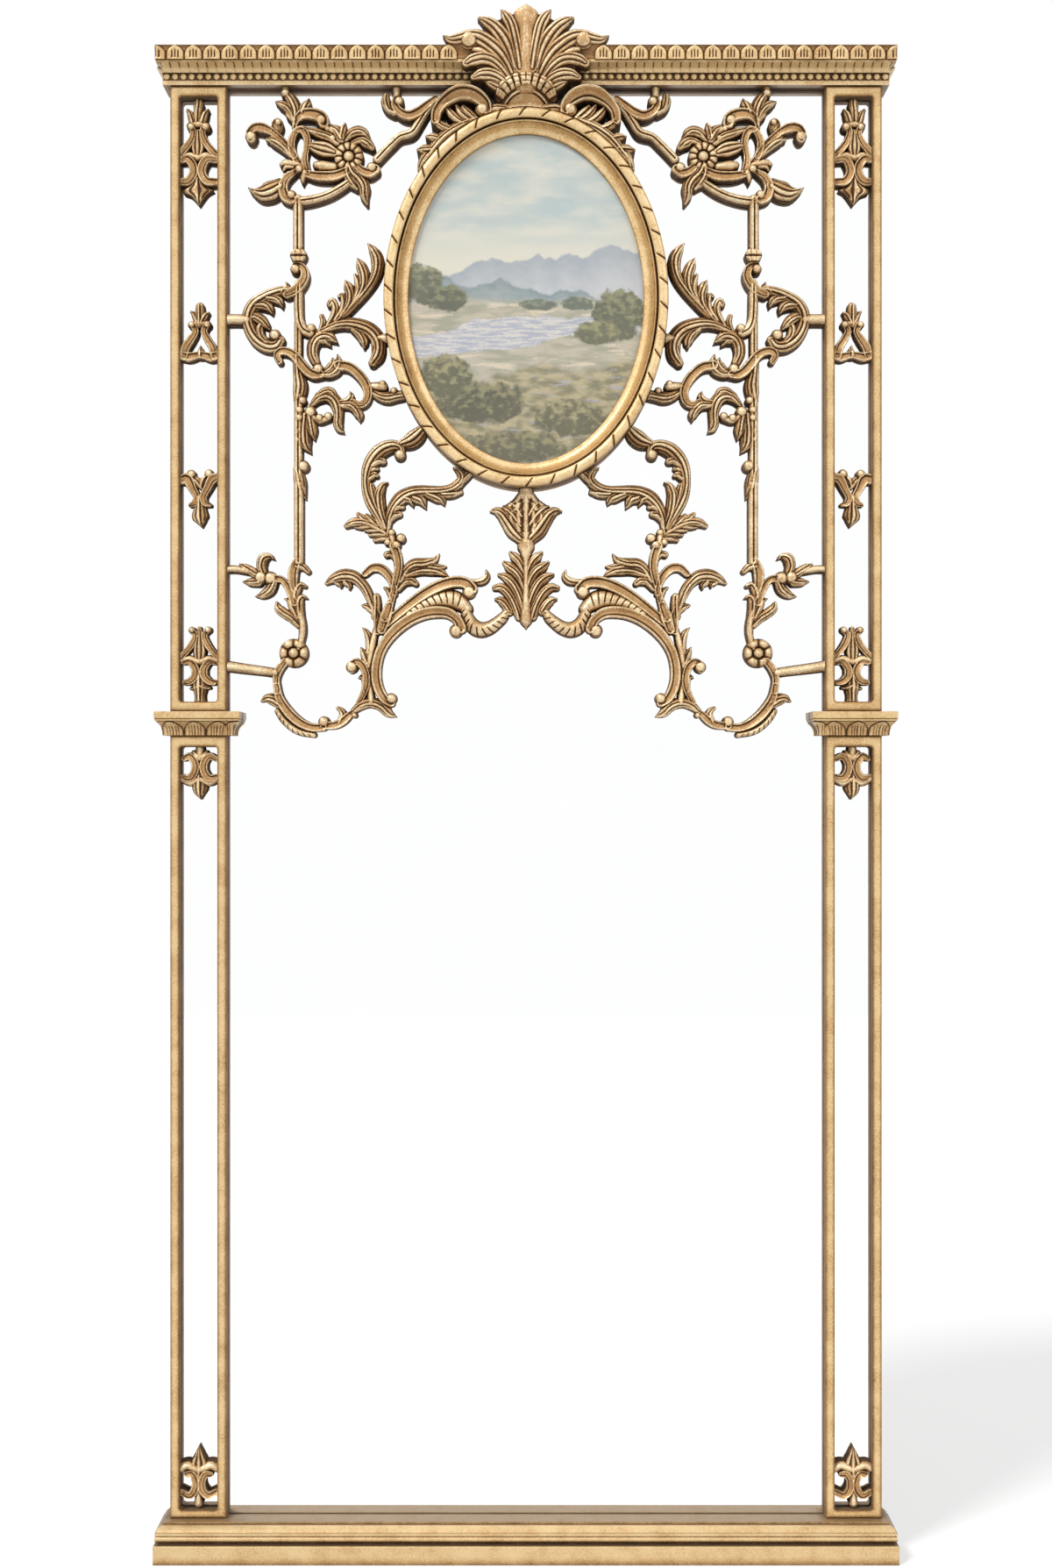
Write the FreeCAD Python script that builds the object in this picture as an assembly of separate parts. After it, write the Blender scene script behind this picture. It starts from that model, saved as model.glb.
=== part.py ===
import FreeCAD, Part
import os
from math import hypot

# Trumeau mirror: a tall floor-standing mirror with pierced pilasters, a carved cornice, an oval picture
# and pierced scrollwork laid over the upper part of the glass.
# Millimetres. +Z is up, +X is to the viewer's right, the front looks along -Y.
# The origin is at the middle of the plinth's underside.
# "Proud" is the distance a face stands in front of the glass; behind the glass it is negative.

# ---- stages, from the floor up
block_height = 23.7
plinth_height = 48.8
lower_stage = 999.3
capital_height = 30.3
upper_stage = 798.6
cornice_height = 44.7
crest_rise = 55.6

# ---- widths, measured from the centre line
pilaster_outer = 454.4
pilaster_width = 72.0
bar_width = 12.0
block_overhang = 17.1
crown_overhang = 16.1
block_half_width = pilaster_outer + block_overhang
crown_half_width = pilaster_outer + crown_overhang
abacus_half_width = 54.4

# ---- depths
plinth_proud = 60.0
carcass_depth = 40.0
bar_proud = 22.0
bar_edge_round = 2.5
block_edge_round = 1.5
glass_thickness = 4.0
abacus_proud = 40.0
crown_proud = 50.0
cornice_core_proud = 12.0

# ---- back frame and boards
stile_width = 70.0
glass_lip = 8.0
glass_bottom_above_block = 6.3
glass_cover_at_cornice = 20.0
bottom_rail_height = 86.0
middle_rail_height = 60.0
top_rail_drop = 32.0
top_board_thickness = 6.0
tenon_thickness = 12.0
tenon_length = 30.0
tenon_shoulder = 8.0
board_thickness = 5.0
board_lap = 8.0
board_screw_inset = 4.0
board_screws_per_edge = 4

# ---- rails of the pierced pilasters
head_rail_height = 13.4
waist_rail_height = 12.8
neck_rail_height = 14.6
foot_rail_height = 9.8
stub_tenon_length = 5.0
stub_tenon_height = 6.0
stub_tenon_depth = 12.0

# ---- oval frame
oval_half_width = 181.5
oval_half_height = 241.0
oval_below_cornice = 271.5
ribbon_width = 12.5
ribbon_proud = 38.0
ribbon_edge_round = 2.5
sight_width = 18.5
sight_fillet_width = 3.0
sight_proud = 33.0
sight_inner_proud = 20.0
picture_thickness = 3.0
backing_thickness = 12.0

# ---- carved work
carving_proud = 20.0
strip_proud = 16.0
crest_back = 26.0
crest_proud = 57.0
crest_seat_proud = 40.0
smallest_chip = 60.0

# ---- screws and hanger plates
screw_head_radius = 3.6
screw_head_height = 2.0
screw_shank_radius = 1.75
screw_length = 18.0
carcass_screw_radius = 2.5
carcass_screw_head_radius = 4.6
carcass_screw_head_height = 3.0
carcass_screw_length = 55.0
top_screw_length = 35.0
carcass_screw_depth = 20.0
carcass_screw_inset = 14.0
rail_screw_offset = 150.0
countersink = 0.5
hanger_inset = 34.4
hanger_spacing = 2 * (pilaster_outer - hanger_inset)
hanger_height = 1700.0
hanger_plate_width = 24.0
hanger_plate_height = 60.0
hanger_plate_thickness = 2.0
hanger_key_radius = 5.0
hanger_slot_radius = 2.6
hanger_slot_rise = 11.0
hanger_screw_offset = 22.0
hanger_pocket_depth = 12.0

# ---- clearances
joint_gap = 0.2
glass_gap = 0.4
board_gap = 0.3
oval_gap = 0.3
screw_gap = 0.1

# ---- places worked out from the values above
glass_y = plinth_proud - (plinth_proud + carcass_depth) / 2
back_y = glass_y + carcass_depth
capital_bottom = plinth_height + lower_stage
capital_top = capital_bottom + capital_height
cornice_bottom = capital_top + upper_stage
cornice_top = cornice_bottom + cornice_height
crest_top = cornice_top + crest_rise
oval_centre = cornice_bottom - oval_below_cornice
pilaster_centre = pilaster_outer - pilaster_width / 2
pilaster_inner = pilaster_outer - pilaster_width
glass_half_width = pilaster_outer - glass_lip
glass_bottom = block_height + glass_bottom_above_block
glass_top = cornice_bottom + glass_cover_at_cornice
far = 2 * (block_half_width + cornice_top)


def vec(x, y, z):
    return FreeCAD.Vector(x, y, z)


def y_at(proud):
    return glass_y - proud


def slab(x0, x1, proud0, proud1, z0, z1):
    """A box between two sides, two proud distances and two heights."""
    depth = proud1 - proud0
    return Part.makeBox(x1 - x0, depth, z1 - z0, vec(x0, y_at(proud1), z0))


def mirrored(shape):
    return shape.mirror(vec(0, 0, 0), vec(1, 0, 0))


def rod(radius, length, start, direction):
    return Part.makeCylinder(radius, length, start, direction)


def joined(shapes):
    whole = shapes[0].multiFuse(shapes[1:]) if len(shapes) > 1 else shapes[0]
    return whole.removeSplitter()


def group(shapes):
    solids = []
    for shape in shapes:
        solids.extend(shape.Solids)
    return Part.makeCompound(solids) if len(solids) > 1 else solids[0]


def save(name, shape):
    os.makedirs("parts", exist_ok=True)
    shape.exportStep("parts/" + name + ".step")
    valid = all(solid.isValid() for solid in shape.Solids)
    print(name, len(shape.Solids), "solids", "valid" if valid else "NOT VALID", round(shape.Volume))


def save_pair(name, left):
    save(name + "_left", left)
    save(name + "_right", mirrored(left))


# ==== the carver's sheet ====
# The scrollwork is drawn on a squared sheet. One square is 1.12 mm. "Across" counts squares to the
# right and "down" counts squares downwards. The sheet's guide lines are tied to the joinery, so the
# drawing stretches with the frame that it fills.
square = 1.12
sheet_middle = 600.0
sheet_floor = 1774.36

sheet_margin = 185.6
sheet_sides = [0.0, 181.5, 382.4, 394.4, 442.4, 454.4, 454.4 + sheet_margin]
frame_sides = [
    0.0,
    oval_half_width,
    pilaster_inner,
    pilaster_inner + bar_width,
    pilaster_outer - bar_width,
    pilaster_outer,
    pilaster_outer + sheet_margin,
]
sheet_heights = [0.0, 48.8, 58.6, 1033.5, 1048.1, 1078.4, 1091.2, 1364.5, 1605.5, 1846.5, 1863.6, 1877.0,
                 1921.7, 1977.3]
frame_heights = [
    0.0,
    plinth_height,
    plinth_height + foot_rail_height,
    capital_bottom - neck_rail_height,
    capital_bottom,
    capital_top,
    capital_top + waist_rail_height,
    oval_centre - oval_half_height,
    oval_centre,
    oval_centre + oval_half_height,
    cornice_bottom - head_rail_height,
    cornice_bottom,
    cornice_top,
    crest_top,
]


def follow(value, marks, places):
    """Reads a place off two matching rows of guide lines."""
    step = 1
    while step < len(marks) - 1 and value > marks[step]:
        step += 1
    share = (value - marks[step - 1]) / (marks[step] - marks[step - 1])
    return places[step - 1] + share * (places[step] - places[step - 1])


def place(across, down):
    """Turns a point of the sheet into a point of the frame's front plane."""
    side = (across - sheet_middle) * square
    height = (sheet_floor - down) * square
    x = follow(abs(side), sheet_sides, frame_sides)
    return vec(x if side > 0 else -x, 0, follow(height, sheet_heights, frame_heights))


# The point halfway along a step lies on the cubic through the four points round it: nine parts of the
# step's own ends less one part of each point beyond, over sixteen.
def spine_points(points):
    """A smooth line through the points, with one more point halfway along each step."""
    smooth = []
    last = len(points) - 1
    for i in range(last):
        before = points[max(i - 1, 0)]
        here = points[i]
        ahead = points[i + 1]
        beyond = points[min(i + 2, last)]
        middle = [(9 * (here[k] + ahead[k]) - before[k] - beyond[k]) / 16 for k in range(3)]
        smooth.append(list(here))
        smooth.append(middle)
    smooth.append(list(points[last]))
    return smooth


# On the inside of a bend an edge keeps away from the bend's centre by the rest of this share.
inside_share = 0.7
straight_bend = 0.01


def edge_points(points):
    """The left and right edges of a stroke whose half width changes along its spine."""
    line = spine_points(points)
    last = len(line) - 1
    left = []
    right = []
    for i, (u, v, half) in enumerate(line):
        back = line[max(i - 1, 0)]
        front = line[min(i + 1, last)]
        du = front[0] - back[0]
        dv = front[1] - back[1]
        length = hypot(du, dv)
        turn = 0.0
        if 0 < i < last:
            turn = (u - back[0]) * (front[1] - v) - (v - back[1]) * (front[0] - u)
        bend = abs(turn) * 8 / length ** 3
        inner = min(half, inside_share / bend) if bend > straight_bend else half
        out_left = inner if turn < 0 else half
        out_right = inner if turn > 0 else half
        left.append((u + dv / length * out_left, v - du / length * out_left))
        right.append((u - dv / length * out_right, v + du / length * out_right))
    return line, left, right


def curve_through(points):
    curve = Part.BSplineCurve()
    curve.interpolate(points)
    return curve.toShape()


def cap(line, end, next_to_end, start_point, end_point):
    """Closes the end of a stroke: a round end, or nothing where the stroke runs out to a point."""
    u, v, half = line[end]
    du = u - line[next_to_end][0]
    dv = v - line[next_to_end][1]
    length = hypot(du, dv)
    nose = place(u + du / length * half, v + dv / length * half)
    return Part.Arc(start_point, nose, end_point).toShape()


def stroke(points):
    """One stroke of the carving as a flat face, given as (across, down, half width) points."""
    line, left, right = edge_points(points)
    left_places = [place(u, v) for u, v in left]
    right_places = [place(u, v) for u, v in right]
    edges = [
        curve_through(left_places),
        cap(line, -1, -2, left_places[-1], right_places[-1]),
        curve_through(right_places),
        cap(line, 0, 1, right_places[0], left_places[0]),
    ]
    face = Part.Face(Part.Wire(Part.__sortEdges__(edges)))
    face.validate()
    return face


def ball(across, down, radius):
    """A round boss or volute eye as a flat face, stretched with the sheet."""
    middle = place(across, down)
    reach = place(across + radius, down)
    size = abs(reach.x - middle.x)
    circle = Part.Circle(middle, vec(0, 1, 0), size)
    return Part.Face(Part.Wire(circle.toShape()))


def thick(face, proud0, proud1):
    moved = face.translated(vec(0, y_at(proud0), 0))
    return moved.extrude(vec(0, proud0 - proud1, 0))


def carved(strokes, balls, proud0, proud1):
    """Strokes and bosses fused into one thickness of carving."""
    faces = [stroke(points) for points in strokes.values()]
    faces.extend(ball(*values) for values in balls)
    return joined([thick(face, proud0, proud1) for face in faces])


def trimmed(shape, keep_clear):
    """The carving cut back to what is already there, without chips too small to be carved."""
    for other in keep_clear:
        if shape.BoundBox.intersect(other.BoundBox):
            shape = shape.cut(other)
    return group([solid for solid in shape.Solids if solid.Volume > smallest_chip])


# ==== strokes of the carving, as (across, down, half width) ====
corner_spray_strokes = {
    "neck": [(325, 95, 4.5), (325, 99, 4.5), (325, 104, 5)],
    "hanging_leaf": [(327, 106, 4), (333, 114, 6), (337, 124, 6), (337, 133, 4.5), (335, 144, 2.5)],
    "hanging_leaf_tip": [(315, 115, 1.5), (320, 117, 4), (327, 121, 5), (333, 129, 4.5), (336, 139, 3)],
    "hanging_leaf_curl": [(325, 126, 1), (328, 130, 3), (332, 135, 3), (336, 141, 2)],
    "upright_leaf": [(352, 110.5, 0.4), (351, 115, 3.5), (348, 121, 6), (345, 127, 5)],
    "right_curl": [(335, 147, 2.5), (337, 138, 3.5), (343, 131, 6), (351, 129, 7), (360, 130, 7.5),
                   (367, 134, 7.5), (369, 140, 6.5)],
    "left_curl": [(286, 157, 5.5), (284.5, 150.5, 5), (290, 145, 5.5), (299, 145, 6), (307, 148, 5),
                  (314, 153, 4.5), (322, 160, 4.5), (329, 168, 4.5), (335, 177, 4.5)],
    "left_curl_leaf": [(305, 157.5, 2.5), (310, 158, 5), (317, 161, 6), (325, 168, 5), (332, 177, 3)],
    "small_curl": [(312, 148, 3.5), (313, 140, 4), (317, 137.5, 4), (319.5, 142, 3.5), (317, 151, 3)],
    "loop_left": [(344, 145, 3.5), (337, 149, 4), (332.5, 158, 4.5), (332.5, 169, 4.5), (337, 180, 4.5),
                  (344, 189, 4), (350, 197, 3)],
    "loop_right": [(339, 146.5, 3.5), (346, 149, 4.5), (350, 158, 4.5), (349.5, 167, 4), (347.5, 176, 4),
                   (347.5, 184, 4.5), (350, 194, 4.5)],
    "knot_leaf": [(321, 186, 3), (325, 184.5, 4.5), (332, 185, 4.5), (340, 187, 4.5), (347, 191, 3.5)],
    "knot_leaf_under": [(323, 193, 1.5), (326, 189, 3), (334, 189, 3)],
    "knot_tip": [(345, 209, 0.4), (345, 203, 3.5), (347, 196, 5)],
    "lower_scroll": [(336, 195, 3.5), (328, 200.5, 5), (323.5, 207.5, 5.5), (322.5, 215.5, 6),
                     (325.5, 223.5, 6.5), (332, 227, 6)],
    "swept_leaf": [(282.5, 212.5, 0.4), (289, 217, 3.5), (299, 219, 8.5), (309, 216, 10), (318, 211, 8)],
    "flower_arc": [(348, 197, 4), (358, 199.5, 5.5), (370, 200.5, 6), (383, 199.5, 6), (396, 194, 5)],
    "fluted_bud": [(352, 165, 3.5), (357, 166, 7), (365, 168, 9.5), (373, 170, 9.5), (381, 173, 6)],
    "bud_leaf": [(348, 146, 2.5), (356, 148, 4), (365, 151, 5), (374, 154, 5), (384, 161, 4)],
    "ruffle_left": [(378, 144, 3.5), (384, 148, 5.5), (389, 156, 6)],
    "ruffle_tip": [(393, 140, 1.5), (391, 146, 4), (389, 155, 5)],
    "ruffle_link": [(369, 144, 4), (376, 147, 4.5), (384, 151, 4)],
    "top_petal": [(394, 158, 3), (400, 151, 5), (408, 148, 5.5), (415, 150, 4.5), (420, 155, 2)],
    "side_petal": [(402, 162, 3), (410, 159, 4), (417, 161, 6), (424, 167, 3.5)],
    "under_bud": [(361, 187, 5), (368, 188, 6.5), (380, 189, 5)],
    "right_eye_curl": [(404, 181, 3), (407, 188, 4.5), (413, 194, 5.5), (421, 196.5, 6), (428, 192.5, 6)],
    "hanging_petal": [(398, 186, 3.5), (402, 195, 6), (410, 203, 6.5), (415, 212, 6), (415.5, 222, 4.5),
                      (418.5, 231.5, 1.5)],
    "hanging_petal_left": [(396, 188, 3), (396.5, 197, 5), (401, 206, 5.5), (407, 213, 3)],
}
corner_spray_balls = [(325, 105, 5.5), (366, 136, 7), (286, 154.5, 7), (317, 138.5, 4.5), (341, 192, 5.5),
                      (332, 221.5, 6), (373, 146, 4), (379, 157, 4.5), (397.5, 177.5, 17), (424, 190, 6.5)]

corner_rail_strokes = {
    "arc": [(402, 203.5, 4.5), (390, 212, 5), (380, 218, 5.2), (370, 222.5, 5.2), (358, 226, 5.4),
            (346, 228, 5.6), (337, 228.5, 5)],
    "upright": [(339.3, 226, 5.7), (339.3, 256, 5.7), (339.3, 286, 5.7)],
    "collar": [(340, 283, 6), (340, 287.5, 9.5), (340, 292, 9.5), (340, 297, 6.5), (340, 299, 5.5)],
}

shoulder_scroll_strokes = {
    "block": [(452, 95, 5), (452, 101, 5), (452, 107, 5)],
    "bud": [(440, 108, 3.5), (440, 115, 5), (443, 123, 4), (450, 127, 4)],
    "scroll": [(452, 108, 3.5), (450, 118, 4.5), (456, 127, 5.5), (466, 131, 6), (477, 127, 6),
               (487, 119, 5), (497, 111, 4)],
    "rail": [(492, 119, 4), (485, 128, 5), (478, 139, 5.5), (470, 150, 5.8), (456, 155, 5.2),
             (447, 163, 5.4), (438, 172, 5.5), (430, 180.5, 5.5)],
}
shoulder_scroll_balls = [(455, 114.5, 6)]

side_scroll_strokes = {
    "strut": [(258.6, 363.5, 6.8), (268, 363.5, 6.6), (281, 364, 6.6)],
    "upper_s": [(336, 301.5, 3.5), (343, 303, 4.5), (347, 308.5, 5), (347, 316, 5.5), (342.5, 324, 6),
                (335.5, 331, 6), (327, 335, 5)],
    "acanthus": [(327, 330, 5), (316, 332.5, 6), (303, 337.5, 6.5), (291, 345, 7), (284.5, 355, 7),
                 (283, 366, 6.5), (286.5, 377, 7), (293, 386, 7.5), (303, 392.5, 7.5), (313, 393, 7),
                 (319, 387, 5)],
    "acanthus_tip": [(326, 320.5, 0.5), (327, 326, 3.5), (322, 332, 5)],
    "lobe_upper": [(305, 338, 5), (313, 339, 5), (319, 343, 4), (321.5, 350, 0.4)],
    "lobe_middle": [(292, 346, 5), (301, 346, 6), (307, 350.5, 4.5), (310, 357.5, 0.4)],
    "lobe_inner": [(284, 360, 3), (290, 360, 5), (297, 363.5, 5.5), (303, 369.5, 4), (307.5, 375.5, 0.5)],
    "lobe_heart": [(301, 366, 2.5), (296, 373, 4), (297, 382, 4.5), (303, 389, 4)],
    "pendent_bar": [(340, 322, 5), (340, 340, 5.5), (340.3, 356, 5.5), (341.5, 366, 5.8), (345.5, 374.5, 6),
                    (353, 379, 5.5)],
    "back_bar": [(339.5, 366, 4.6), (339.5, 385, 4.6), (339.5, 404, 4.6)],
    "lower_s": [(318.5, 411, 4), (315.5, 404.5, 4.5), (320, 400, 5), (328, 400.5, 5.2), (336, 405.5, 5.8),
                (343, 414, 6.3), (350, 422, 6.3), (357, 426.5, 6), (365, 426.5, 5)],
}
side_scroll_balls = [(336.5, 306, 6), (313, 381.5, 7), (354.5, 373.5, 5.5), (362.5, 420, 6.5)]

feather_leaf_strokes = {
    "crown": [(419, 276, 0.4), (425, 284, 4.5), (430, 294, 6.5), (430, 306, 6), (426, 318, 5),
              (418, 330, 4.5), (408, 342, 4), (396, 355, 3.5), (384, 366, 3), (371, 378, 2.5)],
    "second": [(407, 293, 0.4), (411, 301, 5), (415, 312, 6), (415, 325, 5.5), (409, 338, 4.5),
               (399, 351, 4)],
    "second_side": [(404.5, 312, 1.5), (408, 320, 4), (409, 330, 4.5), (404, 343, 4)],
    "third": [(393, 318, 0.4), (397, 326, 5), (400, 336, 5.5), (398, 347, 5), (390, 359, 4)],
    "third_side": [(386, 337, 1.5), (390, 336, 3), (392, 344, 3.5), (390, 354, 4), (383, 364, 3.5)],
    "fourth": [(376, 346, 3.5), (379, 343, 4), (382, 350, 4), (380.5, 359, 4), (374, 370, 3)],
    "fifth": [(366.5, 359.5, 2.5), (368, 365, 3), (367, 371, 3), (364, 378, 2.5)],
    "branch": [(361, 379, 3), (372, 374, 4), (384, 369.5, 5), (396, 368, 6), (409, 370, 7),
               (421, 375, 7.5), (429.5, 384, 7.5), (432.5, 395, 6.5), (430.5, 405, 6.5), (425, 413, 4.5)],
    "branch_lobe": [(403, 374, 4), (411, 381, 5), (415, 389, 4.5), (415, 395, 1.5)],
    "branch_lobe_small": [(424, 381, 3), (426, 390, 3), (424.5, 400, 1)],
    "seat": [(432, 385, 5), (438, 385, 6), (444, 386, 6)],
    "c_leaf": [(359.5, 412, 4.5), (356, 403.5, 5.5), (356.5, 393, 6), (361.5, 385, 6.5), (369.5, 382, 6),
               (377, 384, 5), (385, 390, 0.5)],
    "c_leaf_inner": [(364, 387, 4), (371, 387.5, 4.5), (377, 394, 0.5)],
}

flower_drop_strokes = {
    "curl": [(367, 426, 4), (376, 425.5, 4.5), (383.5, 420, 5.5), (386, 411.5, 4), (384.5, 403, 0.5)],
    "curl_inner": [(371, 422, 3), (376, 418, 4), (379.5, 412.5, 3.5), (379, 407.5, 1)],
    "scroll": [(386, 416, 6), (398, 418, 6), (408, 425.5, 6), (416, 436, 6), (419.5, 447, 5.5),
               (417, 457, 5), (409.5, 461, 4.5), (402, 457, 3.5)],
    "scroll_bud": [(399, 445.5, 0.5), (400, 451, 3.5), (396, 456, 3.5), (387, 457.5, 2.5)],
    "tail_leaf": [(389, 461, 4), (399, 461, 5), (405.5, 466, 5), (409.5, 473, 4.5), (410, 479.5, 0.8)],
    "block": [(422, 439.5, 4.5), (430, 440, 5.5), (437, 440, 5.5)],
    "seat_leaf": [(424, 446, 3.5), (433, 451, 5), (442, 452.5, 6), (451, 451, 5.5), (462, 449, 5)],
    "arched_leaf": [(355, 461, 2.5), (362, 454, 4.5), (371, 450.5, 6), (379, 453.5, 6.5), (384, 461.5, 6.5),
                    (385.5, 472, 5), (385, 482, 5), (387, 488, 4), (392, 492.5, 0.5)],
    "arched_leaf_curl": [(362, 450, 3), (371, 445.5, 4.5), (378, 446, 4), (382, 452, 3)],
    "bead_arc": [(356, 474, 4), (364, 479, 4), (374, 476, 4)],
    "leaf_right": [(353, 473, 4), (354.5, 482, 5), (356, 491, 5), (358, 501, 0.6)],
    "leaf_middle": [(348, 473, 4), (347, 486, 5.5), (347, 498, 6.5), (348.5, 507, 5.5), (354, 516, 0.6)],
    "leaf_left": [(345, 479, 3), (341, 490, 3.5), (338.5, 501, 3)],
    "bar_leaf": [(338.5, 406, 4.5), (340, 425, 5.5), (342, 438, 7), (341, 448, 6.5), (339.5, 455, 4.6)],
    "bar": [(339.8, 450, 5), (339.8, 500, 5), (339.8, 555, 5)],
    "bar_foot_leaf": [(338.5, 534, 4), (341, 545, 6), (343, 556, 5.5), (348, 568.5, 0.6)],
    "grooved_bar": [(340.2, 552, 5.7), (340.2, 600, 5.7), (340.2, 640, 5.7)],
}
flower_drop_balls = [(436, 437, 4.5), (449, 445, 4.5), (353.5, 469, 7), (344.5, 456, 5), (341, 467, 5),
                     (341, 476, 5), (364, 476, 5), (374, 474, 5), (338.5, 501, 3.4), (345.5, 531, 7)]

lower_drop_strokes = {
    "hook_body": [(338, 640, 5), (334, 652, 6.5), (334, 664, 5.5), (336, 677, 3.5)],
    "hook": [(338, 645, 5), (345, 646, 4), (350.5, 651, 3)],
    "hook_lobe": [(347, 668, 2.2), (342.5, 666.5, 3), (338.5, 671.5, 4), (336.5, 680, 4)],
    "bud_top": [(312, 637.5, 0.6), (307, 634, 3), (300, 636.5, 5.5), (297.5, 645, 5), (300, 654, 4.5)],
    "bud_foot": [(291, 680, 0.6), (299, 678, 4), (307, 672, 5.5), (312, 662, 4.5)],
    "bud_side": [(273, 643, 1), (280, 647, 4), (291, 654, 5)],
    "bud_side_low": [(277, 663, 1), (284, 663.5, 4), (294, 663, 5)],
    "thin_strut": [(258.6, 648.5, 4.4), (268, 648.5, 4.4), (283, 651, 4.4)],
    "stem_in": [(311, 659, 5), (320.5, 660.5, 4.2), (326.5, 667, 4.5), (331, 676, 4.5), (335, 687, 5)],
    "spray_right": [(350, 682, 0.6), (345, 680.5, 3), (341, 685, 4.5), (341, 694, 4.5), (342, 704, 4.5)],
    "spray_middle": [(324, 682.5, 0.6), (330, 685, 3.5), (334, 693, 4.5), (339, 703, 4)],
    "spray_left": [(315, 687, 1.5), (317.5, 693.5, 4.5), (324, 699, 5), (332, 704, 5), (340, 712, 4)],
    "stem": [(341, 698, 4.5), (343.7, 709, 4.7), (344.5, 720, 4.5), (343, 730, 4), (340, 739, 4)],
    "stem_out": [(325, 754, 4.5), (317.5, 764, 5), (314.5, 775, 4.2), (316, 788, 4.6)],
    "tapered_strut": [(258.6, 759.5, 6.5), (280, 762.5, 6), (300, 765, 5.6), (313, 767, 5.5)],
    "sickle": [(315, 782, 4), (318, 795, 5), (324, 806, 5.8), (333.5, 817, 6), (345, 825.5, 5.5),
               (356.5, 829.5, 5), (368, 829, 5)],
    "sickle_leaf": [(297, 800, 0.6), (303, 796.5, 4), (311, 797.5, 6), (319, 803, 5)],
    "bead_edge": [(316, 811, 3.5), (322, 820, 4), (331, 829, 4), (342, 835, 4), (357, 838, 3.5)],
    "link": [(369, 827.5, 4.5), (382, 826.5, 5), (391, 822, 5), (397, 816.5, 4.5), (402, 812, 3)],
    "link_leaf": [(385, 807.5, 2), (388.5, 810, 3), (391, 815.5, 4), (388, 823, 4)],
}
lower_drop_balls = [(297, 658, 8), (308, 659, 8), (334.5, 744.5, 16.5), (369, 823, 6.5)]

arabesque_strokes = {
    "seat_scroll": [(484, 487, 5), (476, 496, 8), (468, 502, 8), (458, 506, 5)],
    "scroll": [(457.5, 517, 4.5), (455, 509.8, 5), (447, 508, 6.5), (436, 512, 7.5), (426.5, 521, 7.5),
               (420, 533, 6.5), (417.5, 547, 5), (419, 561, 5.5), (424, 574, 6), (431, 587, 5),
               (439, 601, 3.5)],
    "lobe_upper": [(424, 529, 4), (431, 524.5, 4.5), (436, 525, 4)],
    "lobe_middle": [(421, 536, 3), (426, 533, 3.5), (429.5, 533.5, 2.5)],
    "lobe_lower": [(420, 545, 3.5), (426, 541, 4), (429.5, 541.5, 2.5)],
    "upright_leaf": [(442, 549.5, 0.5), (436.5, 553, 3.5), (432.5, 562, 5.5), (432.5, 573, 6),
                     (435, 586, 5.5), (440, 600, 4)],
    "upright_leaf_side": [(423.5, 553, 3), (425, 561, 4), (428, 573, 4.5), (434, 587, 4)],
    "branch": [(441, 606, 3.5), (443, 591, 4.5), (448, 578, 5.5), (457, 567.5, 7), (468, 561.5, 6.5),
               (480, 559.5, 6), (493, 559.5, 5.5), (505, 559, 5), (515, 556.5, 5), (523.5, 550.5, 5),
               (526.5, 543, 4.2), (522.5, 536.5, 3), (517, 532.5, 0.8)],
    "branch_seat": [(526, 549, 4), (532, 542, 4.5), (538, 537, 3.5)],
    "branch_lobe_a": [(444, 593, 3.5), (449, 587, 4.5), (455, 585.5, 3.5)],
    "branch_lobe_b": [(448, 581, 3.5), (453.5, 576.5, 4.5), (458.5, 577, 3)],
    "branch_lobe_c": [(461, 566, 5), (468, 569, 5), (471, 577, 0.8)],
    "branch_lobe_d": [(473, 566, 6), (480, 569, 6), (485.5, 579, 0.8)],
    "branch_lobe_e": [(488, 562, 5), (498, 565.5, 6), (504, 569.5, 4.5), (506.5, 575, 0.8)],
    "branch_lobe_f": [(505, 562, 5), (516, 561.5, 5), (525, 560, 3)],
    "feather": [(394.5, 599, 2.5), (401.5, 595.5, 4.5), (411.5, 594.5, 5), (422, 597, 4.5),
                (432, 602, 4), (442, 608, 3)],
    "feather_top_a": [(408, 585.5, 2), (414, 590.5, 3.5), (422, 596, 3)],
    "feather_top_b": [(418, 587, 2), (424, 592.5, 3.5), (431, 600, 3)],
    "feather_top_c": [(427.5, 588, 2), (432, 594.5, 3.5), (438, 604, 3)],
    "feather_low_a": [(405, 600.5, 1.5), (411, 600, 3), (421, 599.5, 3)],
    "feather_low_b": [(416, 604, 1.5), (422, 603.5, 3.5), (432, 604, 3)],
    "feather_low_c": [(421.5, 609, 2), (428, 608, 3.5), (438, 608.5, 3)],
    "feather_low_d": [(427.5, 615, 2.5), (434, 613, 4), (442, 613, 4)],
    "berry_stem": [(445, 606, 4), (447, 614, 5), (448.5, 623, 5)],
}
arabesque_balls = [(456, 518, 6.8), (446.5, 607, 4.5), (457, 613.5, 6), (442, 618, 4.5), (452, 621, 5.5)]

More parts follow.
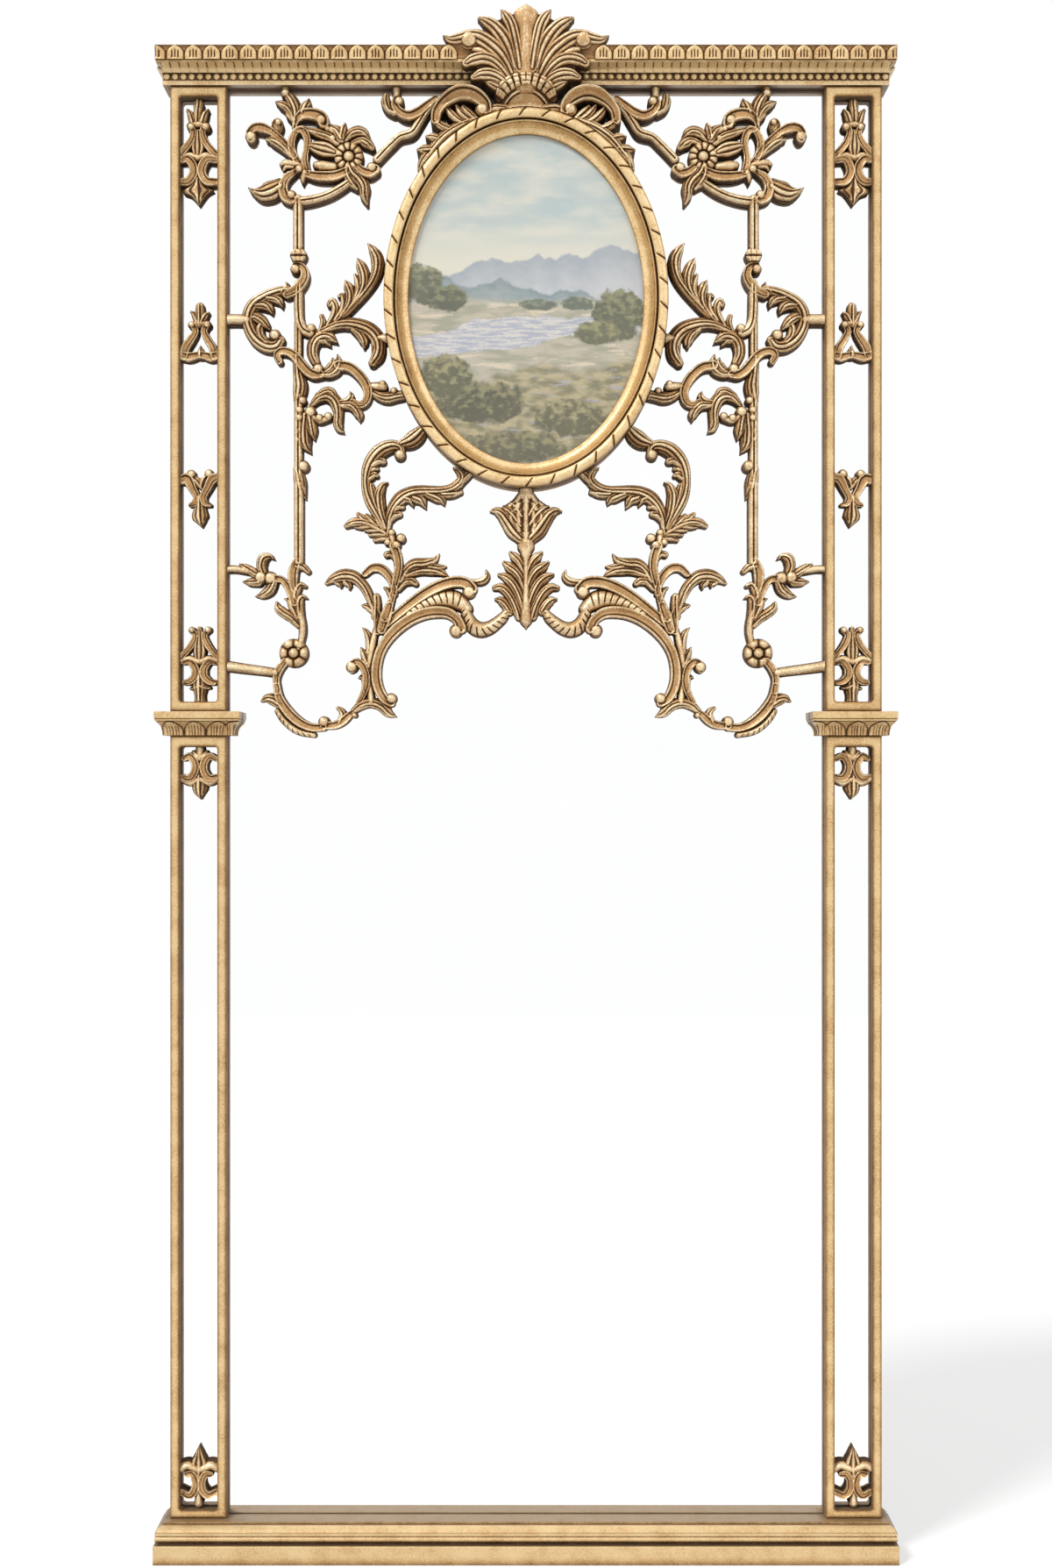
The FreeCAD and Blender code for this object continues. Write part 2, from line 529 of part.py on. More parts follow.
arch_scroll_strokes = {
    "stem": [(449, 622, 5.5), (453, 634, 5.5), (454.5, 646, 5), (452, 659, 5), (449.5, 670, 4),
             (447, 681, 4), (443.5, 692, 5), (439, 704, 6.5)],
    "stem_leaf": [(441, 632, 3.5), (446, 631.5, 3.5), (451, 638, 3), (453, 648, 3)],
    "left_leaf": [(371.5, 665, 1.5), (379, 660, 4.5), (390, 656, 6.5), (402, 657, 6.5), (411, 663.5, 5.5),
                  (418, 673.5, 5), (423, 686, 4), (428, 700, 4)],
    "left_leaf_lobe_a": [(383, 663, 3), (387.5, 666, 3), (388, 669.5, 1)],
    "left_leaf_lobe_b": [(394, 663, 4), (398, 667, 3), (398, 671.5, 1)],
    "top_arc": [(416, 654, 4), (424, 647.5, 5), (433, 647.5, 5.5), (441, 653.5, 5.5), (447, 664, 4.5),
                (450, 677, 3.5)],
    "bract": [(429, 680.5, 4), (429, 690, 5), (428.5, 702, 5)],
    "bract_leaf": [(413.5, 690, 1.5), (419, 691.5, 3.5), (427, 698, 3.5)],
    "right_leaf": [(456, 662, 3.5), (463, 650, 4.5), (472, 643.5, 6), (484, 642.5, 6), (495, 638.5, 3.5),
                   (501, 631, 0.5)],
    "right_leaf_low": [(463, 655, 4), (478, 650, 5), (492, 649.5, 5.5), (503, 652, 4), (511, 657, 1)],
    "right_leaf_tip": [(490, 645, 4), (501, 646.5, 3.5), (508.5, 645.5, 1)],
    "under_leaf": [(454, 671, 3.5), (461.5, 663, 4.5), (469, 662, 4.5), (474, 665, 3.2)],
    "small_leaf": [(438.5, 670, 1.5), (443, 673.5, 3), (447, 684, 3)],
    "fork_left": [(428, 695, 4.5), (431, 706, 5.5), (430, 720, 4)],
    "fork_right": [(444, 690, 5), (440, 703, 7), (435, 718, 5.5)],
    "upper_scroll": [(438, 714, 4), (451, 702, 5.5), (465, 690.5, 6), (479, 680, 6.5), (493, 671.5, 7),
                     (507, 665.5, 7), (520, 663, 7), (531, 664.5, 7), (538, 671, 7)],
    "tail_leaf": [(554.5, 650, 1), (556, 656.5, 3), (551.5, 661.5, 4), (544, 663.5, 3.5), (535, 663, 3)],
    "web": [(452, 711, 3), (467, 699, 5.5), (482, 690, 8), (497, 684, 10), (511, 682.5, 11.5),
            (523, 686, 11), (533, 694, 7)],
    "arch": [(526, 716, 6.5), (521.5, 706.5, 6), (511, 699, 6.5), (497, 697.5, 7), (482, 700, 7),
             (467, 706.5, 7), (453, 716.5, 7), (441.5, 729, 6.5), (433.5, 743, 6), (429.5, 758, 6),
             (429, 773, 6), (432, 786, 6), (438, 796.5, 5.5), (446, 802, 4.5)],
    "rope_arm": [(529, 688, 6), (533, 702, 7), (539, 713, 9), (548, 717.5, 9), (558, 715.5, 8),
                 (567, 709.5, 7), (574.5, 702.5, 6), (579, 694, 3)],
    "side_scroll": [(400.5, 764, 4), (401, 757.5, 4), (407, 754.5, 4.5), (413, 759, 5), (417, 768, 4.5),
                    (417.5, 779, 5), (414.5, 790, 4), (409, 801, 3.5)],
    "side_leaf_a": [(413, 715.5, 0.6), (418, 721, 3), (421, 731, 4), (421, 744, 4)],
    "side_leaf_stem": [(430, 712, 3), (427, 723, 4), (424, 735, 5), (422, 748, 5), (420, 760, 4)],
    "side_leaf_b": [(411.5, 738.5, 1), (415, 745.5, 4), (419, 756, 4)],
    "side_leaf_c": [(409, 773, 1), (413, 771.5, 2.5), (415.5, 778, 3), (415.5, 788, 3)],
    "groove_web": [(423.5, 745, 2.5), (422, 765, 2.5), (422, 780, 3), (423, 800, 5)],
    "foot": [(402, 811.5, 3), (410, 805, 4.5), (419, 801.5, 5), (428, 802, 5.5), (436, 806, 5.5),
             (443, 813, 4.5), (451, 817, 0.8)],
}
arch_scroll_balls = [(520, 719, 7.8), (535, 674.5, 8), (446, 796.5, 6.5), (401, 760.5, 7), (404, 815.5, 3.5)]

crest_arm_strokes = {
    "arm": [(496, 131.5, 4.5), (497.5, 122, 5), (503.5, 113, 5.5), (512.5, 106.5, 6), (523, 102.5, 6.3),
            (535, 102.5, 6.3), (545.5, 106.5, 6.3), (553, 113, 5.8), (555, 120, 5)],
    "arm_link": [(556, 121, 3.5), (565, 117, 4), (577, 118, 4.5)],
    "fan_a": [(509, 117, 2), (514, 124, 4), (522, 131, 4), (533, 136.5, 3.5)],
    "fan_b": [(520, 114.5, 1.5), (524, 121, 3.5), (531, 128, 4), (541, 133.5, 3)],
    "fan_c": [(528, 116.5, 2.5), (533, 122, 4), (542, 130, 3.5)],
    "fan_hook": [(496, 130, 3), (502, 137, 4.5), (511, 141, 4), (521, 141, 3)],
    "edge_lobe_a": [(486, 150, 1.5), (493, 151, 4.5), (503, 154, 3.5)],
    "edge_lobe_b": [(476, 165, 1.5), (483, 165, 5), (493, 164.5, 4)],
    "edge_lobe_c": [(477, 188, 1.5), (480, 180, 3.5), (486, 172, 5), (493, 167, 3)],
    "edge_spine": [(480, 187, 2), (484, 177, 4), (493, 164, 5), (503, 152.5, 5.5), (514, 144, 5.5),
                   (526, 137.5, 5.5), (541, 132, 5)],
}
crest_arm_balls = [(549.5, 119, 6.5)]

crest_side_strokes = {
    "lobe_top": [(571.5, 8.5, 0.5), (577, 15.5, 5), (583, 26, 6), (587, 41, 6), (590, 57, 6),
                 (593, 76, 6)],
    "lobe_second": [(547, 18.5, 2), (555, 22.5, 5.5), (565, 29.5, 7), (575, 42, 8), (582, 57, 6.5),
                    (587, 76, 5)],
    "scroll_lobe": [(505.5, 38, 0.6), (514, 43, 4.5), (524, 42, 6), (534, 39, 6.5), (545, 40, 7.5),
                    (556, 46, 8), (568, 56, 8), (577, 68, 6.5), (584, 82, 5)],
    "lobe_fourth": [(532, 70, 4.5), (540, 66, 6.2), (551, 64, 6.5), (562, 67, 6.2), (572, 75.5, 5.5),
                    (581, 87, 4.5)],
    "lobe_fifth": [(540, 86, 3), (548, 83, 5.5), (558, 82.5, 6.5), (568, 86, 5.8), (578, 93, 4.5)],
    "lobe_sixth": [(553.5, 91, 1), (559, 92.5, 3.5), (567, 96, 4.2), (576, 100, 4)],
    "knot": [(540.5, 54, 3), (548, 56, 4), (558, 61, 3.5)],
    "collar": [(569, 107, 4), (573.5, 99, 6), (582.5, 92, 7), (592, 89, 7), (600, 88, 7)],
}
crest_side_balls = [(534.5, 43.5, 9.2)]
crest_middle_strokes = {
    "cap": [(600, 2, 0.6), (600, 7, 9), (600, 12.5, 14), (600, 18, 14.5), (600, 27, 10.5)],
    "fluted_stem": [(600, 22, 9), (600, 45, 11.5), (600, 65, 15.5), (600, 88, 19)],
    "half_dome": [(600, 100.5, 9), (600, 105, 16), (600, 111, 22), (600, 122, 26)],
}

pendant_middle_strokes = {
    "neck": [(600, 552, 7), (600, 558, 7.5), (600, 564, 11)],
    "tulip": [(600, 561, 9), (600, 570, 16), (600, 576, 24), (600, 590, 31), (600, 600, 25),
              (600, 609, 18), (600, 617, 10), (600, 622, 9.5)],
    "cap": [(600, 618, 9.5), (600, 624, 10), (600, 630, 7), (600, 640, 4)],
    "stem": [(600, 636, 4.5), (600, 660, 4.5), (600, 680, 5.5), (600, 698, 8), (600, 708, 7.5),
             (600, 716, 1)],
}
pendant_side_strokes = {
    "petal": [(559, 582.3, 0.6), (566, 582, 4), (573, 586, 6), (579, 594, 7), (586, 604, 8),
              (594, 613, 6)],
    "petal_inner": [(575, 577.5, 2), (580, 581, 5), (587, 588, 6), (594, 598, 6)],
    "petal_top": [(583.5, 572.5, 2), (589, 577, 5), (595, 587, 6)],
    "lobe_a": [(582.5, 630, 2), (586.5, 634, 4.5), (592.5, 640.5, 4.5), (598, 652, 3)],
    "lobe_b": [(575, 641, 2), (580.5, 645.5, 5), (588, 651, 5.5), (594, 659.5, 4.5), (598.5, 672, 3)],
    "lobe_c": [(569.5, 655, 2), (576.5, 657.5, 4.5), (584, 663.5, 5.5), (590, 673, 5.2), (595, 686, 4.5),
               (598, 698, 3)],
    "lobe_d": [(564.5, 670, 3), (571.5, 669.5, 4.5), (579, 675, 5), (585.5, 685, 5), (590, 696, 5),
               (592, 703, 4)],
    "lobe_e": [(565.5, 683, 1.5), (570.5, 684, 4), (576, 688.5, 4.8), (581, 696, 5)],
}

strip_strokes = {
    "a_fan_middle": [(225.5, 110.5, 3), (225.5, 117, 6.2), (224.5, 126, 5), (224, 136, 6)],
    "a_fan_left": [(213, 123.5, 2), (216, 128, 4), (219, 137, 5)],
    "a_fan_right": [(236, 123.5, 2), (233, 128, 4), (230, 137, 5)],
    "a_collar": [(215, 141, 3.5), (224.5, 139.5, 4.5), (234, 141, 3.5)],
    "a_leg_left": [(217, 143, 4), (219.5, 150, 3.8), (216, 160, 4.2), (209, 169, 4.5), (204, 175, 4)],
    "a_leg_right": [(232, 143, 4), (230, 150, 3.8), (233.5, 160, 4.2), (240, 169, 4.5), (247.5, 176, 4)],
    "a_diamond": [(224.5, 148, 3), (224.5, 158, 6), (224.5, 166, 8.5), (224.5, 176, 5)],
    "a_c_left": [(206, 181, 4), (213, 180, 5), (219, 187, 5.5), (220, 196, 5.5), (214, 205, 5.5),
                 (205, 206, 4.5)],
    "a_c_right": [(246, 181, 4), (236, 180, 5), (230.5, 187, 5.5), (229.5, 196, 5.5), (235, 205, 5.5),
                  (246, 206, 4.5)],
    "a_foot": [(225, 203, 4), (225, 210, 10), (225, 216, 18), (225.5, 222, 9), (226, 231, 1.5)],
    "a_shoulders": [(205, 178, 3.5), (215, 175, 4), (225, 178, 5), (235, 175, 4), (247.5, 178, 3.5)],
    "b_fan_left": [(217, 354, 1.5), (221, 358, 4), (225, 366, 4.5)],
    "b_fan_middle": [(227, 348, 5), (227, 356, 6), (227, 368, 5)],
    "b_fan_right": [(236.5, 355.5, 2), (233, 359, 4), (229, 367, 4.5)],
    "b_collar": [(217.5, 368.5, 3.5), (227, 367, 4), (236, 368.5, 3.5)],
    "b_leg_left": [(219, 369, 4), (222, 377, 4), (217, 386, 5), (211, 395, 5.5), (208.5, 405, 5)],
    "b_leg_right": [(235, 369, 4), (232, 377, 4), (236, 386, 4.5), (241.5, 395, 5), (244, 405, 5)],
    "b_foot": [(205.5, 404.5, 5.5), (215, 406, 5.5), (227.5, 403.5, 4.2), (239, 406, 5.5),
               (247, 404.5, 5.5)],
    "b_finial": [(227.5, 393, 0.8), (228, 398, 3.5), (228, 404, 5)],
    "c_leg_left": [(205.5, 546, 6), (213, 546, 7), (219, 557, 5), (223.5, 566, 4.5), (221, 573, 4.5),
                   (216, 575, 2.5)],
    "c_leg_right": [(249, 543, 5.5), (241.5, 546, 6), (236, 556, 5), (231, 566, 4.5), (233, 573, 4),
                    (238.5, 575, 2.5)],
    "c_bud": [(219, 544, 3), (224, 548, 5), (229, 555, 3.5)],
    "c_bud_right": [(234, 543, 3), (231, 548, 5), (229, 555, 3.5)],
    "c_fan": [(227, 566, 4), (227, 578, 7), (227, 588, 9.5), (228, 594, 6), (229, 600, 1)],
    "d_leg_left": [(217, 718, 3.5), (221.5, 724, 3.8), (218.5, 733, 4.2), (212, 742, 4), (205, 749, 4)],
    "d_leg_right": [(237, 718, 3.5), (232, 724, 3.8), (235, 733, 4.2), (241, 742, 4), (247.5, 749, 4)],
    "d_diamond": [(226.5, 716, 2.5), (226.5, 728, 5), (226.5, 741, 8), (226.5, 752, 6)],
    "d_shoulders": [(205, 753, 3.5), (215, 750.5, 4), (226.5, 754, 5), (238, 750.5, 4), (247.5, 753, 3.5)],
    "d_c_left": [(208, 755, 3), (215.5, 754.5, 4), (221.5, 762, 5), (221.5, 770.5, 5), (216, 776.5, 4.5),
                 (210, 778, 3.5)],
    "d_c_right": [(245, 755, 3), (238, 754.5, 4), (232, 762, 5), (232, 770.5, 5), (237.5, 776.5, 4.5),
                  (243.5, 778, 3.5)],
    "d_foot": [(227, 772, 5), (227, 780, 9), (227, 787, 8), (227, 793, 6.5), (227, 800, 6.8)],
    "d_foot_leaves": [(217, 785, 2), (222, 783, 4), (227, 781, 5), (232, 783, 4), (238, 784, 2)],
    "e_neck": [(227, 851.5, 5), (227, 857, 5.5), (227, 866, 4)],
    "e_c_left": [(209, 865, 3.5), (215.5, 862.5, 4.5), (221.5, 870, 5), (221.5, 879, 5), (216, 887, 5),
                 (206, 886, 3.5)],
    "e_c_right": [(246, 865, 3.5), (237.5, 862.5, 4.5), (232, 870, 5), (232, 879, 5), (237.5, 887, 5),
                  (247.5, 886, 3.5)],
    "e_collar": [(206, 889, 3.5), (216, 893, 4), (227, 889, 5), (238, 893, 4), (247.5, 889, 3.5)],
    "e_tip": [(227, 886, 6), (227, 896, 9), (227, 903, 7.5), (228, 911, 1)],
    "e_link": [(220, 858, 3), (227, 864, 6), (234, 858, 3)],
    "f_diamond": [(226, 1652, 0.8), (226, 1662, 6), (226, 1671, 10), (226, 1681, 7)],
    "f_shoulders": [(205, 1676, 6), (213, 1673, 5.5), (226, 1677, 6), (239, 1673, 5.5), (247.5, 1676, 6)],
    "f_c_left": [(212, 1683, 3.5), (218, 1683, 4.5), (222, 1691, 4.5), (221, 1701, 5), (215, 1707, 4.5),
                 (206, 1703, 4)],
    "f_c_right": [(239.5, 1683, 3.5), (233.5, 1683, 4.5), (229.5, 1691, 4.5), (230.5, 1701, 5),
                  (237, 1707, 4.5), (246.5, 1703, 4)],
    "f_stem": [(225.5, 1680, 4), (225.5, 1695, 3.5), (225.5, 1707, 4), (225.5, 1716, 5.5)],
}
strip_balls = [(217, 143, 5), (234, 143, 5.5), (217.5, 369, 4.5), (235.5, 369, 4.8), (217, 540, 5.5),
               (237.5, 539.5, 5.5), (218, 718, 4), (236.5, 718, 4.2)]


# ==== joinery: back frame, boards and glass ====
def glass_pocket():
    half = glass_half_width + glass_gap
    depth = glass_thickness + joint_gap
    return slab(-half, half, -depth, far, glass_bottom - glass_gap, glass_top + glass_gap)


def rail_between_stiles(z0, z1, gap):
    """A rail of the back frame with its two tenons, or its mortise tool when a gap is given."""
    half = pilaster_outer - stile_width
    body = slab(-half, half, -carcass_depth, 0, z0, z1)
    reach = half + tenon_length + gap
    low = z0 + tenon_shoulder - gap
    high = z1 - tenon_shoulder + gap
    middle = (carcass_depth + glass_thickness) / 2
    near = -middle + tenon_thickness / 2 + gap
    deep = -middle - tenon_thickness / 2 - gap
    tenons = slab(-reach, reach, deep, near, low, high)
    return tenons if gap else joined([body, tenons])


frame_top = cornice_top - top_board_thickness
bottom_rail_top = block_height + bottom_rail_height
middle_rail_bottom = (capital_bottom + capital_top - middle_rail_height) / 2
middle_rail_top = middle_rail_bottom + middle_rail_height
top_rail_bottom = cornice_bottom - top_rail_drop
rail_spans = {
    "bottom": (block_height, bottom_rail_top),
    "middle": (middle_rail_bottom, middle_rail_top),
    "top": (top_rail_bottom, frame_top),
}
board_spans = {
    "lower": (bottom_rail_top - board_lap, middle_rail_bottom + board_lap),
    "upper": (middle_rail_top - board_lap, top_rail_bottom + board_lap),
}
board_half_width = pilaster_outer - stile_width + board_lap


def board(z0, z1, gap):
    half = board_half_width + gap
    return slab(-half, half, -carcass_depth, -carcass_depth + board_thickness + gap, z0 - gap, z1 + gap)


def screw(head_radius, head_height, shank_radius, length, start, direction, gap):
    """A countersunk screw that runs from its head face at start along direction."""
    head = Part.makeCone(head_radius + gap, shank_radius + gap, head_height, start, direction)
    shank = rod(shank_radius + gap, length + gap, start, direction)
    return joined([head, shank])


def board_screws(gap):
    inset = board_screw_inset
    screws = []
    for z0, z1 in board_spans.values():
        side = board_half_width - board_gap - inset
        low = z0 + board_gap + inset
        high = z1 - board_gap - inset
        spots = []
        for i in range(board_screws_per_edge):
            share = (i + 0.5) / board_screws_per_edge
            across = -side + 2 * side * share
            up = low + (high - low) * share
            spots.extend([(across, low), (across, high), (-side, up), (side, up)])
        for x, z in spots:
            start = vec(x, back_y, z)
            screws.append(screw(screw_head_radius, screw_head_height, screw_shank_radius, screw_length,
                                start, vec(0, -1, 0), gap))
    return screws


def carcass_screws(gap):
    stile_x = pilaster_outer - carcass_screw_inset
    screws = []
    for x in (-stile_x, -rail_screw_offset, rail_screw_offset, stile_x):
        foot = vec(x, y_at(-carcass_screw_depth), countersink)
        head = vec(x, y_at(-carcass_screw_depth), cornice_top - countersink)
        for start, direction, length in ((foot, vec(0, 0, 1), carcass_screw_length),
                                         (head, vec(0, 0, -1), top_screw_length)):
            screws.append(screw(carcass_screw_head_radius, carcass_screw_head_height,
                                carcass_screw_radius, length, start, direction, gap))
    return screws


def countersinks():
    """The short wells over the heads of the carcass screws."""
    stile_x = pilaster_outer - carcass_screw_inset
    wells = []
    for x in (-stile_x, -rail_screw_offset, rail_screw_offset, stile_x):
        for z in (0, cornice_top - countersink):
            start = vec(x, y_at(-carcass_screw_depth), z)
            wells.append(rod(carcass_screw_head_radius + screw_gap, countersink, start, vec(0, 0, 1)))
    return wells


# ---- keyhole hanger plates, let into the backs of the stiles
def hanger_centres():
    return [vec(side * hanger_spacing / 2, back_y, hanger_height) for side in (-1, 1)]


def hanger_plate(centre):
    corner = centre + vec(-hanger_plate_width / 2, -hanger_plate_thickness, -hanger_plate_height / 2)
    plate = Part.makeBox(hanger_plate_width, hanger_plate_thickness, hanger_plate_height, corner)
    inward = vec(0, -1, 0)
    entry = rod(hanger_key_radius, hanger_plate_thickness, centre, inward)
    slot_end = rod(hanger_slot_radius, hanger_plate_thickness, centre + vec(0, 0, hanger_slot_rise), inward)
    slot_corner = centre + vec(-hanger_slot_radius, -hanger_plate_thickness, 0)
    slot = Part.makeBox(2 * hanger_slot_radius, hanger_plate_thickness, hanger_slot_rise, slot_corner)
    return plate.cut(joined([entry, slot_end, slot]))


def hanger_screws(gap):
    screws = []
    for centre in hanger_centres():
        for rise in (-hanger_screw_offset, hanger_screw_offset):
            screws.append(screw(screw_head_radius, screw_head_height, screw_shank_radius, screw_length,
                                centre + vec(0, 0, rise), vec(0, -1, 0), gap))
    return screws


def hanger_pocket(centre):
    """The seat of a hanger plate, and the deeper well that takes the head of the wall screw."""
    width = hanger_plate_width + 2 * joint_gap
    height = hanger_plate_height + 2 * joint_gap
    depth = hanger_plate_thickness + joint_gap
    seat = Part.makeBox(width, depth, height, centre + vec(-width / 2, -depth, -height / 2))
    radius = hanger_key_radius + joint_gap
    inward = vec(0, -1, 0)
    low_end = rod(radius, hanger_pocket_depth, centre, inward)
    high_end = rod(radius, hanger_pocket_depth, centre + vec(0, 0, hanger_slot_rise), inward)
    between = Part.makeBox(2 * radius, hanger_pocket_depth, hanger_slot_rise,
                           centre + vec(-radius, -hanger_pocket_depth, 0))
    return joined([seat, low_end, high_end, between])


def make_back():
    screw_holes = joined(board_screws(screw_gap))
    carcass_holes = joined(carcass_screws(screw_gap) + countersinks())
    hanger_holes = joined([hanger_pocket(centre) for centre in hanger_centres()] + hanger_screws(screw_gap))
    boards = joined([board(z0, z1, 0) for z0, z1 in board_spans.values()])
    pocket = glass_pocket()
    mortises = joined([rail_between_stiles(z0, z1, joint_gap) for z0, z1 in rail_spans.values()])
    stile = slab(pilaster_outer - stile_width, pilaster_outer, -carcass_depth, 0, block_height, frame_top)
    for tool in (pocket, boards, mortises, hanger_holes, carcass_holes, screw_holes):
        stile = stile.cut(tool)
    save("back_stile_right", stile)
    save("back_stile_left", mirrored(stile))
    for name, (z0, z1) in rail_spans.items():
        rail = rail_between_stiles(z0, z1, 0)
        for tool in (pocket, boards, carcass_holes, screw_holes):
            rail = rail.cut(tool)
        save("back_rail_" + name, rail)
    for name, (z0, z1) in board_spans.items():
        save("backboard_" + name, board(z0, z1, -board_gap).cut(screw_holes))
    save("backboard_screws", group(board_screws(0)))
    save("carcass_screws", group(carcass_screws(0)))
    save("hanger_plates", group([hanger_plate(centre) for centre in hanger_centres()])
         .cut(joined(hanger_screws(screw_gap))))
    save("hanger_screws", group(hanger_screws(0)))
    glass = slab(-glass_half_width, glass_half_width, -glass_thickness, 0, glass_bottom, glass_top)
    save("mirror_glass", glass)
    return carcass_holes


# ==== running mouldings: plinth, capitals and cornice ====
# A profile is drawn as (proud, height) steps. A step of four numbers is an arc: the point that it passes,
# then the point where it ends. The profile returns along the sides of the object at its corners.
def outline_face(steps, lay):
    edges = []
    here = lay(*steps[0])
    for step in steps[1:]:
        ahead = lay(*step[-2:])
        if len(step) == 4:
            edges.append(Part.Arc(here, lay(*step[:2]), ahead).toShape())
        else:
            edges.append(Part.makeLine(here, ahead))
        here = ahead
    edges.append(Part.makeLine(here, lay(*steps[0])))
    return Part.Face(Part.Wire(edges))


def stretched(profile, bottom, top):
    """A profile drawn from height 0 up, stretched to stand between two heights."""
    drawn = profile[-1][-1]
    scale = (top - bottom) / drawn
    return [tuple(value * scale + bottom if i % 2 else value for i, value in enumerate(step))
            for step in profile]


def front_run(steps, inner_proud):
    """The profile run along X, solid back to inner_proud."""
    closed = [(inner_proud, steps[0][-1])] + steps + [(inner_proud, steps[-1][-1])]
    face = outline_face(closed, lambda proud, z: vec(-far, y_at(proud), z))
    return face.extrude(vec(2 * far, 0, 0))


def end_run(steps, end_at, centre):
    """The same profile as it returns at the ends, run along Y on both sides of a centre line."""
    closed = [(None, steps[0][-1])] + steps + [(None, steps[-1][-1])]

    def lay(proud, z):
        half = 0 if proud is None else end_at(proud)
        return vec(half, -far, z)

    half_run = outline_face(closed, lay).extrude(vec(0, 2 * far, 0))
    both = joined([half_run, mirrored(half_run)])
    return both.translated(vec(centre, 0, 0))


def wrapped(steps, end_at, core_proud):
    """A front length and two side returns of one moulding, planted round the back frame."""
    ends = end_run(steps, end_at, 0)
    z0 = steps[0][-1]
    z1 = steps[-1][-1]
    front = front_run(steps, core_proud).common(ends)
    side = slab(pilaster_outer, far, -carcass_depth, core_proud, z0, z1).common(ends)
    return [front, mirrored(side), side]


plinth_return_share = 0.45
plinth_profile = [
    (50.0, 0.0),
    (50.0, 4.4),
    (54.5, 4.4),
    (56.5, 7.6, 54.5, 10.8),
    (54.5, 12.0),
    (55.5, 12.0),
    (55.5, 15.5),
    (53.0, 15.5),
    (48.5, 19.8, 38.0, 22.3),
    (37.5, 22.3),
    (37.5, 25.1),
]
cornice_return_share = 0.29
cornice_as_drawn = 44.7
bead_strip_share = 14.9 / cornice_as_drawn
cove_share = 28.7 / cornice_as_drawn
bead_strip_profile = [(25.3, 0.0), (25.3, 5.5), (23.0, 5.5), (23.0, 14.9)]
cove_profile = [(27.0, 0.0), (32.0, 6.2, 44.0, 9.0), (46.0, 9.0), (46.0, 13.8)]
leaf_profile = [(47.0, 0.0), (45.8, 5.0, 47.0, 10.0), (48.2, 14.4, 50.0, 16.0)]
capital_return_share = 0.62
capital_profile = [
    (24.0, 0.0),
    (27.0, 11.0, 36.0, 17.5),
    (38.0, 17.5),
    (38.0, 19.7),
    (40.0, 19.7),
    (40.0, 30.3),
]


def plinth_end(proud):
    return block_half_width - (plinth_proud - proud) * plinth_return_share


def cornice_end(proud):
    return crown_half_width - (crown_proud - proud) * cornice_return_share


def capital_end(proud):
    return abacus_half_width - (abacus_proud - proud) * capital_return_share


def make_plinth(carcass_holes):
    block = slab(-block_half_width, block_half_width, -carcass_depth, plinth_proud, 0, block_height)
    front_y = y_at(plinth_proud)
    rounded = [edge for edge in block.Edges if edge.BoundBox.YMin < front_y + joint_gap
               and edge.BoundBox.ZMax > joint_gap]
    block = block.makeFillet(block_edge_round, rounded)
    save("plinth_block", block.cut(carcass_holes))
    steps = stretched(plinth_profile, block_height, plinth_height)
    save("plinth_moulding", group(wrapped(steps, plinth_end, 0)))


def make_capitals():
    steps = stretched(capital_profile, capital_bottom, capital_top)
    ends = end_run(steps, capital_end, pilaster_centre)
    front = front_run(steps, 0).common(ends)
    side = slab(pilaster_outer, far, -carcass_depth, 0, capital_bottom, capital_top).common(ends)
    capital = joined([front, side])
    save("capital_right", capital)
    save("capital_left", mirrored(capital))


def make_cornice(crest, carcass_holes):
    core = slab(-pilaster_outer, pilaster_outer, 0, cornice_core_proud, cornice_bottom, cornice_top)
    top = slab(-pilaster_outer, pilaster_outer, -carcass_depth, 0, frame_top, cornice_top)
    save("cornice_core", joined([core, top]).cut(carcass_holes))
    bead_top = cornice_bottom + cornice_height * bead_strip_share
    cove_top = cornice_bottom + cornice_height * cove_share
    layers = {
        "cornice_bead_strip": stretched(bead_strip_profile, cornice_bottom, bead_top),
        "cornice_fluted_cove": stretched(cove_profile, bead_top, cove_top),
        "cornice_leaf_moulding": stretched(leaf_profile, cove_top, cornice_top),
    }
    for name, steps in layers.items():
        lengths = wrapped(steps, cornice_end, cornice_core_proud)
        lengths[0] = lengths[0].cut(crest)
        save(name, group(lengths))


# ==== pierced pilasters ====
stages = {
    "lower": (plinth_height, capital_bottom, foot_rail_height, neck_rail_height),
    "upper": (capital_top, cornice_bottom, waist_rail_height, head_rail_height),
}


def front_edges(shape, proud, along_x):
    """The long edges on the front face of a bar or a rail."""
    found = []
    for edge in shape.Edges:
        box = edge.BoundBox
        on_front = box.YMax < y_at(proud) + joint_gap
        runs_along = box.XLength if along_x else box.ZLength
        if on_front and runs_along > stub_tenon_length + bar_width:
            found.append(edge)
    return found


def stub(x, z, gap):
    """A stub tenon that spans the joint of a rail and a bar at one side."""
    middle = bar_proud / 2
    half_depth = stub_tenon_depth / 2 + gap
    half_height = stub_tenon_height / 2 + gap
    reach = stub_tenon_length + gap
    return slab(x - reach, x + reach, middle - half_depth, middle + half_depth,
                z - half_height, z + half_height)


